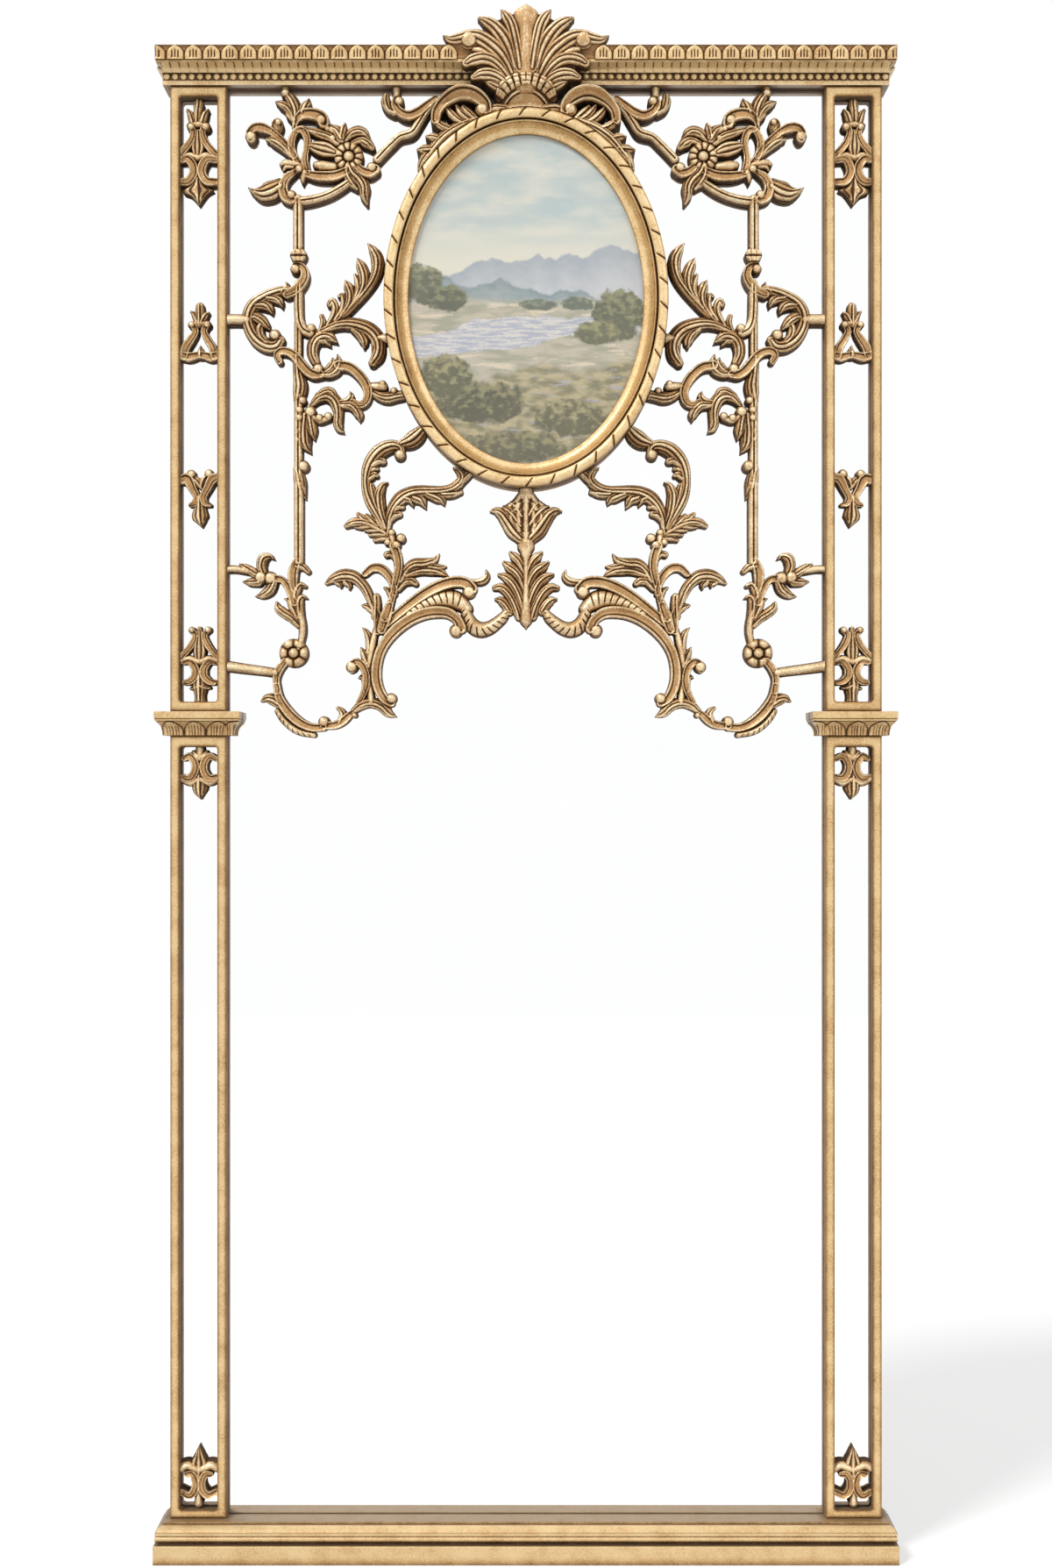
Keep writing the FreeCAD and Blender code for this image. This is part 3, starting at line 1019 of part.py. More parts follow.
def make_pilasters():
    inner_face = pilaster_inner + bar_width
    outer_face = pilaster_outer - bar_width
    for stage, (z0, z1, low_height, high_height) in stages.items():
        rail_heights = [(z0, z0 + low_height), (z1 - high_height, z1)]
        middles = [(low + high) / 2 for low, high in rail_heights]
        mortises = joined([stub(x, z, joint_gap) for z in middles for x in (inner_face, outer_face)])
        bars = {"inner": (pilaster_inner, inner_face), "outer": (outer_face, pilaster_outer)}
        for name, (x0, x1) in bars.items():
            bar = slab(x0, x1, 0, bar_proud, z0, z1)
            bar = bar.makeFillet(bar_edge_round, front_edges(bar, bar_proud, False))
            bar = bar.cut(mortises)
            save("pilaster_" + stage + "_" + name + "_bar_right", bar)
            save("pilaster_" + stage + "_" + name + "_bar_left", mirrored(bar))
        rails = []
        for (low, high), z in zip(rail_heights, middles):
            rail = slab(inner_face, outer_face, 0, bar_proud, low, high)
            rail = rail.makeFillet(bar_edge_round, front_edges(rail, bar_proud, True))
            rails.append(joined([rail, stub(inner_face, z, 0), stub(outer_face, z, 0)]))
        save("pilaster_" + stage + "_rails_right", group(rails))
        save("pilaster_" + stage + "_rails_left", mirrored(group(rails)))


# ==== oval picture frame ====
def oval_wire(inset, proud):
    half_width = oval_half_width - inset
    half_height = oval_half_height - inset
    centre = vec(0, y_at(proud), oval_centre)
    side = centre + vec(half_width, 0, 0)
    top = centre + vec(0, 0, half_height)
    ends = (top, side) if half_height > half_width else (side, top)
    return Part.Wire(Part.Ellipse(ends[0], ends[1], centre).toShape())


def oval_prism(inset, proud0, proud1):
    face = Part.Face(oval_wire(inset, proud0))
    return face.extrude(vec(0, proud0 - proud1, 0))


def make_oval():
    inner = ribbon_width
    ring = oval_prism(0, 0, ribbon_proud).cut(oval_prism(inner, 0, ribbon_proud))
    front = [edge for edge in ring.Edges if edge.BoundBox.YMax < y_at(ribbon_proud) + joint_gap]
    save("oval_ribbon_frame", ring.makeFillet(ribbon_edge_round, front))
    seat = inner + oval_gap
    save("oval_backing", oval_prism(seat, 0, backing_thickness))
    picture_front = backing_thickness + picture_thickness
    save("oval_picture_panel", oval_prism(seat, backing_thickness, picture_front))
    sight = oval_prism(seat, picture_front, sight_proud)
    bed = inner + sight_width
    inner_edge = oval_wire(bed, sight_inner_proud)
    outer_edge = oval_wire(seat + sight_fillet_width, sight_proud)
    dish = Part.makeLoft([inner_edge, outer_edge], True, True)
    sight = sight.cut(dish).cut(oval_prism(bed, 0, sight_proud))
    save("oval_sight_moulding", sight)


# ==== carved work ====
def make_strips():
    hollow = slab(-(pilaster_outer - bar_width), -(pilaster_inner + bar_width), 0, strip_proud,
                  plinth_height, cornice_bottom)
    strips = carved(strip_strokes, strip_balls, 0, strip_proud).common(hollow)
    rails = [slab(-far, far, 0, strip_proud, low, high) for low, high in rail_bands()]
    save_pair("strip_ornaments", trimmed(strips, rails))


def rail_bands():
    bands = []
    for z0, z1, low_height, high_height in stages.values():
        bands.append((z0, z0 + low_height))
        bands.append((z1 - high_height, z1))
    bands.append((capital_bottom, capital_top))
    return bands


# The crest stands nearer the eye than the rest of the sheet, so it is drawn a little too large. It is
# taken in towards the point of the sheet that lies at eye height.
eye_down = 894.0
crest_share = 0.989


def taken_in(points):
    ahead = []
    for across, down, half in points:
        u = sheet_middle + (across - sheet_middle) * crest_share
        v = eye_down + (down - eye_down) * crest_share
        ahead.append((u, v, half * crest_share))
    return ahead


def crest_carved(strokes, balls):
    smaller = {name: taken_in(points) for name, points in strokes.items()}
    return carved(smaller, taken_in(balls), 0, crest_proud)


def make_crest(oval):
    """The crest stands in front of the cornice, and its foot reaches down to the glass."""
    sides = crest_carved(crest_side_strokes, crest_side_balls)
    middle = crest_carved(crest_middle_strokes, [])
    palmette = joined([sides, mirrored(sides), middle])
    arm = crest_carved(crest_arm_strokes, crest_arm_balls)
    above = slab(-far, far, crest_back, crest_proud, cornice_bottom, crest_top + far)
    below = slab(-far, far, 0, crest_seat_proud, 0, cornice_bottom)
    room = joined([above, below])
    palmette = trimmed(palmette.common(room), [oval])
    arm = trimmed(arm.common(room), [oval, palmette])
    save("crest_palmette", palmette)
    save_pair("crest_arm", arm)
    return [palmette, arm, mirrored(arm)]


def make_carvings(oval, crest):
    """Each piece is laid on the glass against the pieces that were laid before it."""
    sheet = {
        "corner_spray": ({**corner_spray_strokes, **corner_rail_strokes}, corner_spray_balls),
        "shoulder_scroll": (shoulder_scroll_strokes, shoulder_scroll_balls),
        "side_scroll": (side_scroll_strokes, side_scroll_balls),
        "feather_leaf": (feather_leaf_strokes, []),
        "flower_drop": (flower_drop_strokes, flower_drop_balls),
        "lower_drop": (lower_drop_strokes, lower_drop_balls),
        "arabesque": (arabesque_strokes, arabesque_balls),
        "arch_scroll": (arch_scroll_strokes, arch_scroll_balls),
    }
    bars = slab(-far, -pilaster_inner, 0, crest_proud, 0, cornice_top)
    cornice = slab(-far, far, 0, crest_proud, cornice_bottom, crest_top + far)
    taken = [oval, bars, cornice] + crest
    for name, (strokes, balls) in sheet.items():
        piece = trimmed(carved(strokes, balls, 0, carving_proud), taken)
        save_pair(name, piece)
        taken.append(piece)
    sides = carved(pendant_side_strokes, [], 0, carving_proud)
    middle = carved(pendant_middle_strokes, [], 0, carving_proud)
    pendant = joined([sides, mirrored(sides), middle])
    save("centre_pendant", trimmed(pendant, taken + [mirrored(shape) for shape in taken]))


carcass_tools = make_back()
make_plinth(carcass_tools)
make_capitals()
make_pilasters()
make_oval()
make_strips()
oval_outside = oval_prism(-oval_gap, 0, crest_proud)
crest_pieces = make_crest(oval_outside)
make_cornice(joined(crest_pieces), carcass_tools)
make_carvings(oval_outside, crest_pieces)
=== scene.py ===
from math import atan, cos, exp, pi, radians, sin

import bpy
import numpy as np
from mathutils import Color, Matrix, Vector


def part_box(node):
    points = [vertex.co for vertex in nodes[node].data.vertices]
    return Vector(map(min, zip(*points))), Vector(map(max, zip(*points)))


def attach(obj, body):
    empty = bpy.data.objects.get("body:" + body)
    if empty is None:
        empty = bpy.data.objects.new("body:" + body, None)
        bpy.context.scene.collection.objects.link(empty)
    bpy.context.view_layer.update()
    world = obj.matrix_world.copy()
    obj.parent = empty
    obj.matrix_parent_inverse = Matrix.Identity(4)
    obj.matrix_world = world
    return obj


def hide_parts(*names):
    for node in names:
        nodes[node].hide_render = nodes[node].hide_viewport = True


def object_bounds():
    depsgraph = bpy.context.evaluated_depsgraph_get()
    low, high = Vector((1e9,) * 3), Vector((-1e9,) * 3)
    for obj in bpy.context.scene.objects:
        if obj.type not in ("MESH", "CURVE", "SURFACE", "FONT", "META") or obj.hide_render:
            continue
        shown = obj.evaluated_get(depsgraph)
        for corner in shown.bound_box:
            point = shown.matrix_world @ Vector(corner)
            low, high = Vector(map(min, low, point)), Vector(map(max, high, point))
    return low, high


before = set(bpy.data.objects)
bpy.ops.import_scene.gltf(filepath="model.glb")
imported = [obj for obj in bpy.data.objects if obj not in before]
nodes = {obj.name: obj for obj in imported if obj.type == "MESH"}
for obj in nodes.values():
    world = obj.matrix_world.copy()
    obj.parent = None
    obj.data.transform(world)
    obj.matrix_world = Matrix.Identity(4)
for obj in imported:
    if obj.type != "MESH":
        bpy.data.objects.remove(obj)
cad_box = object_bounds()


# ==== where the mirror stands ====
# A white studio: a pale floor under the plinth, white all round, one broad soft light from the upper left
# and a weaker one from the right. The eye stands 3.5 m in front of the glass at half height.
glass_y = 0.010
eye_distance = 3.5
eye_height = 0.986
view_height = 2.0026
scale_distance = 3.482
ambient_level = 0.50
floor_reach = 8.0
floor_gap = 0.0005
lights = (("key", 46, -38, 2.1, 16), ("fill", 70, 40, 0.55, 40))


def link(thing):
    bpy.context.scene.collection.objects.link(thing)
    return thing


def tone(code):
    """A colour written as a painter's six-figure code, as the shader wants it."""
    values = [int(code[i:i + 2], 16) / 255 for i in (0, 2, 4)]
    return (*Color(values).from_srgb_to_scene_linear(), 1.0)


def feed(tree, made, **inputs):
    """Sets inputs to a value or to another node's output. "In_2" style names count sockets."""
    for name, value in inputs.items():
        socket = made.inputs[int(name[3:]) if name.startswith("In_") else name.replace("_", " ")]
        if isinstance(value, bpy.types.NodeSocket):
            tree.links.new(value, socket)
        else:
            socket.default_value = value


def node(tree, kind, settings=None, **inputs):
    made = tree.nodes.new(kind)
    for name, value in (settings or {}).items():
        setattr(made, name, value)
    feed(tree, made, **inputs)
    return made


def maths(tree, operation, *values):
    """The output of one sum on values or outputs."""
    return node(tree, "ShaderNodeMath", {"operation": operation},
                **{f"In_{k}": value for k, value in enumerate(values)}).outputs[0]


def seen_directly(tree):
    """1 for what the eye sees, also by way of the mirror, and 0 for light on its way to a surface."""
    rays = node(tree, "ShaderNodeLightPath").outputs
    return maths(tree, "MAXIMUM", rays["Is Camera Ray"], rays["Is Glossy Ray"])


camera = link(bpy.data.objects.new("photographer", bpy.data.cameras.new("photographer")))
camera.data.sensor_fit = "VERTICAL"
camera.data.angle_y = 2 * atan(view_height / 2 / scale_distance)
camera.location = (0, glass_y - eye_distance, eye_height)
camera.rotation_euler = (pi / 2, 0, 0)
bpy.context.scene.camera = camera
bpy.context.scene.view_settings.view_transform = "Standard"

world = bpy.data.worlds.new("studio_white")
world.use_nodes = True
bpy.context.scene.world = world
sky = world.node_tree
sky.nodes.clear()
level = node(sky, "ShaderNodeMapRange", Value=seen_directly(sky), To_Min=ambient_level, To_Max=1.0)
background = node(sky, "ShaderNodeBackground", Color=(1, 1, 1, 1), Strength=level.outputs[0])
node(sky, "ShaderNodeOutputWorld", Surface=background.outputs[0])

for name, tilt, swing, strength, softness in lights:
    lamp = bpy.data.lights.new(name, "SUN")
    lamp.energy = strength
    lamp.angle = radians(softness)
    link(bpy.data.objects.new(name, lamp)).rotation_euler = (radians(tilt), 0, radians(swing))

floor_mesh = bpy.data.meshes.new("studio_floor")
floor_mesh.from_pydata([(x * floor_reach, y * floor_reach, cad_box[0][2] - floor_gap)
                        for x, y in ((-1, -1), (1, -1), (1, 1), (-1, 1))], [], [(0, 1, 2, 3)])
floor = link(bpy.data.objects.new("studio_floor", floor_mesh))
floor_finish = bpy.data.materials.new("pale_floor")
floor_finish.use_nodes = True
tree = floor_finish.node_tree
tree.nodes.clear()
paint = node(tree, "ShaderNodeBsdfDiffuse", Color=(0.62, 0.62, 0.62, 1))
glow = node(tree, "ShaderNodeEmission", Color=(1, 1, 1, 1),
            Strength=maths(tree, "MULTIPLY", seen_directly(tree), ambient_level))
both = node(tree, "ShaderNodeAddShader", In_0=paint.outputs[0], In_1=glow.outputs[0])
node(tree, "ShaderNodeOutputMaterial", Surface=both.outputs[0])
floor_mesh.materials.append(floor_finish)


# ==== mirror glass ====
# One sheet of silvered plate. The silver lies at the back of the glass, so the carving that rests on the
# front is seen a second time just behind itself.
silver_depth = 0.0034
glass_arris = 0.0002
slab_faces = [(0, 2, 3, 1), (4, 5, 7, 6), (0, 1, 5, 4), (2, 6, 7, 3), (0, 4, 6, 2), (1, 3, 7, 5)]


def finish(name):
    """A new material with its Principled shader and the place on the object, ready for wiring."""
    material = bpy.data.materials.new(name)
    material.use_nodes = True
    tree = material.node_tree
    tree.nodes.clear()
    shader = node(tree, "ShaderNodeBsdfPrincipled")
    node(tree, "ShaderNodeOutputMaterial", Surface=shader.outputs[0])
    return material, tree, shader, node(tree, "ShaderNodeTexCoord").outputs["Object"]


def noise(tree, place, scale, detail, **more):
    return node(tree, "ShaderNodeTexNoise", Vector=place, Scale=scale, Detail=detail, **more).outputs["Fac"]


def mixed(tree, share, under, over):
    """The second colour laid over the first where share is 1."""
    return node(tree, "ShaderNodeMix", {"data_type": "RGBA"}, Factor=share, In_6=under, In_7=over).outputs[2]


def keep(piece, slot, *replaced):
    """Fixes a finished piece to the mirror. Its slot is not used."""
    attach(piece, "root")
    if replaced:
        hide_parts(*replaced)


def softly_shaded(mesh, sharp):
    mesh.shade_smooth()
    mesh.set_sharp_from_angle(angle=radians(sharp))


def piece_from(name, points, faces, material, smooth_under=None):
    mesh = bpy.data.meshes.new(name)
    mesh.from_pydata(points, [], faces)
    mesh.validate()
    mesh.materials.append(material)
    if smooth_under:
        softly_shaded(mesh, smooth_under)
    return link(bpy.data.objects.new(name, mesh))


silvering, tree, shader, where = finish("silvered_glass")
haze = mixed(tree, noise(tree, where, 9.0, 3.0), tone("FCFDFD"), tone("FFFFFF"))
feed(tree, shader, Base_Color=haze, Metallic=1.0, Roughness=0.02)
low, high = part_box("mirror_glass")
glass_points = [(x, y, z) for z in (low[2], high[2]) for y in (low[1] + silver_depth, high[1])
                for x in (low[0], high[0])]
glass = piece_from("mirror_sheet", glass_points, slab_faces, silvering)
glass.modifiers.new("arris", "BEVEL").width = glass_arris
keep(glass, "mirror", "mirror_glass")


# ==== the back frame and its boards ====
# Brown-stained softwood stiles and rails, tenoned together, with thin boards in their rebates. Nobody sees
# it from the front. It carries the glass, the cornice and the plinth.
across_grain = 38.0
along_grain = 1.3


def ramped(tree, value, deep, pale, low=0.0, high=1.0):
    """One colour that passes into another while the value rises from low to high."""
    ramp = node(tree, "ShaderNodeValToRGB", Fac=value)
    for stop, place, code in zip(ramp.color_ramp.elements, (low, high), (deep, pale)):
        stop.position = place
        stop.color = tone(code)
    return ramp.outputs[0]


def timber(name, pale, deep, grain_axis):
    """Stained softwood: long grain along one axis, with darker winter wood, on Object coordinates."""
    material, tree, shader, where = finish(name)
    stretch = [along_grain if axis == grain_axis else across_grain for axis in range(3)]
    drawn = node(tree, "ShaderNodeMapping", Vector=where, Scale=stretch).outputs[0]
    grain = noise(tree, drawn, 2.2, 7.0, Roughness=0.62, Distortion=0.35)
    blotch = maths(tree, "MULTIPLY_ADD", noise(tree, where, 5.0, 3.0), 0.45, -0.22)
    bump = node(tree, "ShaderNodeBump", Height=grain, Strength=0.35, Distance=0.0006)
    feed(tree, shader, Base_Color=ramped(tree, maths(tree, "ADD", grain, blotch), deep, pale, 0.30, 0.68),
         Normal=bump.outputs[0], Roughness=0.78)
    return material


def dress(material, *names):
    """Gives CAD nodes their finish."""
    for name in names:
        nodes[name].data.materials.clear()
        nodes[name].data.materials.append(material)


dress(timber("stained_softwood_upright", "8A6A48", "5A4029", 2), "back_stile_left", "back_stile_right")
dress(timber("stained_softwood_level", "86664A", "543C27", 0), "back_rail_bottom", "back_rail_middle",
      "back_rail_top", "cornice_core")
dress(timber("backboard_softwood", "A58660", "6F5334", 2), "backboard_lower", "backboard_upper",
      "oval_backing")


# ==== screws and keyhole plates ====
# Plain steel countersunk screws hold the boards, the plinth block and the top board. The keyhole plates are
# let flush into the backs of the stiles.
steel, tree, shader, where = finish("plain_steel")
rub = noise(tree, where, 420.0, 4.0)
rough = node(tree, "ShaderNodeMapRange", Value=rub, To_Min=0.28, To_Max=0.5).outputs[0]
feed(tree, shader, Base_Color=ramped(tree, rub, "77736C", "B9B6AE"), Roughness=rough, Metallic=1.0)
dress(steel, "backboard_screws", "carcass_screws", "hanger_plates", "hanger_screws")


# ==== the gilding ====
# Old water gilding over red bole and gesso: pale gold on what stands proud, which is also a painted
# highlight, brown size and dust in what lies back, which is also painted shade, rubbed through here and
# there to the bole and the wood. Sides get a painted shade of brown.
def sockets(group, way, **kinds):
    """The sockets of a node group. An underscore in a name stands for a space."""
    for name, kind in kinds.items():
        group.interface.new_socket(name.replace("_", " "), in_out=way, socket_type="NodeSocket" + kind)


def soft_step(tree, value, low, high):
    """0 at low and 1 at high, with a soft passage between them."""
    return node(tree, "ShaderNodeMapRange", {"interpolation_type": "SMOOTHSTEP"}, Value=value,
                From_Min=low, From_Max=high).outputs[0]


def worn_gilding_group():
    """Colour, roughness and height of worn gold, with painted highlight and shade. Recess is 0 on a ridge
    and 1 in a hollow.
    """
    group = bpy.data.node_groups.new("worn_gilding", "ShaderNodeTree")
    sockets(group, "INPUT", Place="Vector", Recess="Float", Side="Float", Bright_Gold="Color", Gold="Color",
            Umber="Color", Bole="Color", Wear="Float")
    sockets(group, "OUTPUT", Color="Color", Roughness="Float", Height="Float")
    given = node(group, "NodeGroupInput").outputs
    place = given["Place"]
    cloud = noise(group, place, 38.0, 5.0, Roughness=0.6)
    grit = noise(group, place, 420.0, 3.0, Roughness=0.65)
    chips = noise(group, place, 150.0, 6.0, Roughness=0.72, Distortion=0.4)
    loose = maths(group, "ADD", maths(group, "MULTIPLY_ADD", grit, 0.8, -0.38),
                  maths(group, "MULTIPLY_ADD", cloud, 0.7, -0.35))
    depth = maths(group, "ADD", given["Recess"], loose)
    # Painted light: where the recess is low the gold turns bright as a painted highlight, where it is high
    # it turns umber as dust and painted shade.
    gold = mixed(group, soft_step(group, depth, -0.12, 0.30), given["Bright Gold"], given["Gold"])
    dust_and_shade = mixed(group, soft_step(group, depth, 0.26, 0.80), gold, given["Umber"])
    # Painted shade: faces marked as side are laid over with a flat darker brown.
    side_shaded = mixed(group, given["Side"], dust_and_shade, tone("80684C"))
    worn = maths(group, "MULTIPLY", soft_step(group, chips, 0.66, 0.72), given["Wear"])
    rough = node(group, "ShaderNodeMapRange", Value=depth, From_Max=0.9, To_Min=0.40, To_Max=0.78)
    node(group, "NodeGroupOutput", Color=mixed(group, worn, side_shaded, given["Bole"]),
         Roughness=rough.outputs[0], Height=maths(group, "SUBTRACT", grit, worn))
    return group


def occlusion_and_facing_shade(tree):
    """Recess and side of a piece without marks, as painted shade: the recess from how closed in a place is
    (ambient occlusion), the side from which way it faces.
    """
    air = node(tree, "ShaderNodeAmbientOcclusion", {"samples": 6}, Distance=0.012).outputs["AO"]
    recess = node(tree, "ShaderNodeMapRange", Value=air, From_Min=0.95, From_Max=0.35, To_Max=0.9)
    facing = node(tree, "ShaderNodeNewGeometry").outputs["Normal"]
    along = node(tree, "ShaderNodeSeparateXYZ", Vector=facing).outputs["Y"]
    side = node(tree, "ShaderNodeMapRange", Value=maths(tree, "MULTIPLY", along, -1.0), From_Min=0.25,
                From_Max=0.125, To_Max=0.85)
    return recess.outputs[0], side.outputs[0]


worn_gilding = worn_gilding_group()


def gilding(name, bright, gold, umber, wear, marked, metal=0.35):
    """Gilding for one kind of piece. A marked piece says itself where it is hollow and where it is side."""
    material, tree, shader, where = finish(name)
    if marked:
        recess, side = (node(tree, "ShaderNodeAttribute", {"attribute_name": mark}).outputs["Fac"]
                        for mark in ("recess", "side"))
    else:
        recess, side = occlusion_and_facing_shade(tree)
    layer = node(tree, "ShaderNodeGroup", {"node_tree": worn_gilding}, Place=where, Recess=recess, Side=side,
                 Bright_Gold=tone(bright), Gold=tone(gold), Umber=tone(umber), Bole=tone("6E4426"),
                 Wear=wear).outputs
    bump = node(tree, "ShaderNodeBump", Height=layer["Height"], Strength=0.25, Distance=0.0004)
    feed(tree, shader, Base_Color=layer["Color"], Roughness=layer["Roughness"], Normal=bump.outputs[0],
         Metallic=metal)
    return material


# ==== plinth ====
# A solid block with rounded arrises and a moulding planted on it: groove, bead, fillet and ovolo. The front
# length is mitred round both corners.
dress(gilding("plinth_gilding", "DABE8E", "C09A64", "4E331C", 0.8, False), "plinth_block", "plinth_moulding")


# ==== pierced pilasters ====
# Two slender bars with a short rail at each end of each stage, stub-tenoned. Gesso fills the joints and
# rounds the arrises, and the gold is rubbed thin along them; the darker arrises are that wear and painted
# shade. The sides are painted a dull brown as shade.
bar_gilding = gilding("bar_gilding", "E2C490", "B98F58", "55391F", 1.0, True)
bar_width = 0.012
# Rows of inset, proud, recess and side. The recess darkens the rounded arris towards each edge, as rubbed
# gold and painted shade; the side value paints the flat sides as shade.
bar_arris = ((0.0, 0.0003, 0.7, 0.8), (0.0, 0.0180, 0.6, 0.7), (0.0003, 0.0196, 0.5, 0.4),
             (0.0011, 0.0209, 0.42, 0.1), (0.0024, 0.0217, 0.16, 0.0), (0.0042, 0.0220, -0.02, 0.0))
rail_heights = {"lower": (0.0098, 0.0146), "upper": (0.0128, 0.0134)}
outer_corner = 0.0009
inner_corner = 0.0036


def mark(mesh, name, values):
    """Writes one number for each point, for the gilding to read."""
    held = mesh.attributes.new(name, "FLOAT", "POINT")
    held.data.foreach_set("value", np.asarray(values, dtype=np.float32))


def rounded_loop(x0, x1, z0, z1, proud, corner):
    """A rectangle with rounded corners, as points at one height above the glass."""
    points = []
    for x, z, start in ((x1 - corner, z1 - corner, 0.0), (x0 + corner, z1 - corner, 0.5),
                        (x0 + corner, z0 + corner, 1.0), (x1 - corner, z0 + corner, 1.5)):
        for k in range(6):
            turn = pi * (start + k / 10)
            points.append((x + corner * cos(turn), glass_y - proud, z + corner * sin(turn)))
    return points


def pilaster_frame(stage, side):
    """Two bars and two rails as they look once gesso has filled their joints: one soft-edged frame."""
    names = ["pilaster_" + stage + "_" + place + "_bar_" + side for place in ("inner", "outer")]
    corners = [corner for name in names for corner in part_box(name)]
    x0, x1 = min(c[0] for c in corners), max(c[0] for c in corners)
    z0, z1 = corners[0][2], corners[1][2]
    low, high = rail_heights[stage]
    arris = [(inset, proud) for inset, proud, *marks in bar_arris]
    loops = [rounded_loop(x0 + d, x1 - d, z0 + d, z1 - d, proud, outer_corner) for d, proud in arris]
    x0, x1, z0, z1 = x0 + bar_width, x1 - bar_width, z0 + low, z1 - high
    loops += [rounded_loop(x0 - d, x1 + d, z0 - d, z1 + d, proud, inner_corner + d)
              for d, proud in reversed(arris)]
    count = len(loops[0])
    faces = []
    for k in range(len(loops)):
        a, b = k * count, (k + 1) % len(loops) * count
        faces += [(a + i, a + (i + 1) % count, b + (i + 1) % count, b + i) for i in range(count)]
    frame_piece = piece_from("pilaster_frame_" + stage + "_" + side,
                             [point for loop in loops for point in loop], faces, bar_gilding, 55)
    edges = bar_arris + bar_arris[::-1]
    for name, column in (("recess", 2), ("side", 3)):
        mark(frame_piece.data, name, np.repeat([edge[column] for edge in edges], count))
    keep(frame_piece, "gilding", *names, "pilaster_" + stage + "_rails_" + side)


for side in ("left", "right"):
    for stage in ("lower", "upper"):
        pilaster_frame(stage, side)


# ==== capitals ====
# A hollow bell with upright tongues, a fillet and a square abacus, turned round the corner of the carcass.
# The tongues are pressed composition, set in a row and gilded with the rest.
def motif_row_tree():
    """Repeats a motif along a path, face outwards, at an even spacing."""
    tree = bpy.data.node_groups.new("motif_row", "GeometryNodeTree")
    sockets(tree, "INPUT", Path="Geometry", Motif="Object", Spacing="Float", Finish="Material")
    sockets(tree, "OUTPUT", Row="Geometry")
    given = node(tree, "NodeGroupInput").outputs
    path = node(tree, "GeometryNodeMeshToCurve", Mesh=given["Path"])
    even = node(tree, "GeometryNodeResampleCurve", {"mode": "LENGTH"}, Curve=path.outputs[0],
                Length=given["Spacing"])
    along = node(tree, "GeometryNodeInputTangent")
    turned = node(tree, "FunctionNodeAlignRotationToVector", {"axis": "X", "pivot_axis": "Z"},
                  Vector=along.outputs[0])
    motif = node(tree, "GeometryNodeObjectInfo", Object=given["Motif"])
    placed = node(tree, "GeometryNodeInstanceOnPoints", Points=even.outputs[0],
                  Instance=motif.outputs["Geometry"], Rotation=turned.outputs[0])
    real = node(tree, "GeometryNodeRealizeInstances", Geometry=placed.outputs[0])
    finished = node(tree, "GeometryNodeSetMaterial", Geometry=real.outputs[0], Material=given["Finish"])
    node(tree, "NodeGroupOutput", Row=finished.outputs[0])
    return tree


motif_row = motif_row_tree()


def made_plain(name, host):
    """The evaluated mesh of a host object as a plain object of its own."""
    seen = host.evaluated_get(bpy.context.evaluated_depsgraph_get())
    mesh = bpy.data.meshes.new_from_object(seen)
    mesh.name = name
    bpy.data.objects.remove(host)
    return link(bpy.data.objects.new(name, mesh))


def row_along(name, runs, motif, spacing, material):
    """A row of one motif along straight runs, each a pair of points, as one plain piece."""
    path = bpy.data.meshes.new(name + "_path")
    points = [point for run in runs for point in run]
    path.from_pydata(points, [(2 * i, 2 * i + 1) for i in range(len(runs))], [])
    host = link(bpy.data.objects.new(name + "_path", path))
    made = host.modifiers.new("row", "NODES")
    made.node_group = motif_row
    names = {item.name: item.identifier for item in motif_row.interface.items_tree if item.in_out == "INPUT"}
    made[names["Motif"]] = motif
    made[names["Spacing"]] = spacing
    made[names["Finish"]] = material
    row = made_plain(name, host)
    bpy.data.objects.remove(motif)
    return row


def relief_motif(name, width, height, across, up, surface, outline, depth=1.0):
    """A small closed relief: a grid whose front follows surface(x, t), inside half-width outline(t).
    x runs from -1 to 1 across, t from 0 at the foot to 1 at the top. The front looks along -Y."""
    front = []
    for j in range(up + 1):
        t = j / up
        for i in range(across + 1):
            share = -1 + 2 * i / across
            x = share * outline(t)
            lift, recess = surface(x, t, abs(share))
            front.append(((x * width / 2, -lift * depth, t * height), recess))
    count = len(front)
    # The back, and the walls as they run to it, are painted dark as shade.
    back = [((x, 0.0, z), 1.0) for (x, y, z), recess in front]
    row = across + 1
    faces = []
    for j in range(up):
        for i in range(across):
            a = j * row + i
            faces.append((a, a + 1, a + row + 1, a + row))
            faces.append((count + a, count + a + row, count + a + row + 1, count + a + 1))
    rim = list(range(row)) + [j * row + across for j in range(1, up + 1)]
    rim += [up * row + i for i in range(across - 1, -1, -1)] + [j * row for j in range(up - 1, 0, -1)]
    for a, b in zip(rim, rim[1:] + rim[:1]):
        faces.append((b, a, count + a, count + b))
    mesh = bpy.data.meshes.new(name)
    mesh.from_pydata([point for point, recess in front + back], [], faces)
    mark(mesh, "recess", [recess for point, recess in front + back])
    softly_shaded(mesh, 50)
    return link(bpy.data.objects.new(name, mesh))


def arch_outline(t):
    """Straight sides that close in a round arch."""
    closing = max(0.0, min(0.99, (t - 0.36) / 0.64))
    return 0.99 * (1 - closing ** 2.0) ** 0.62


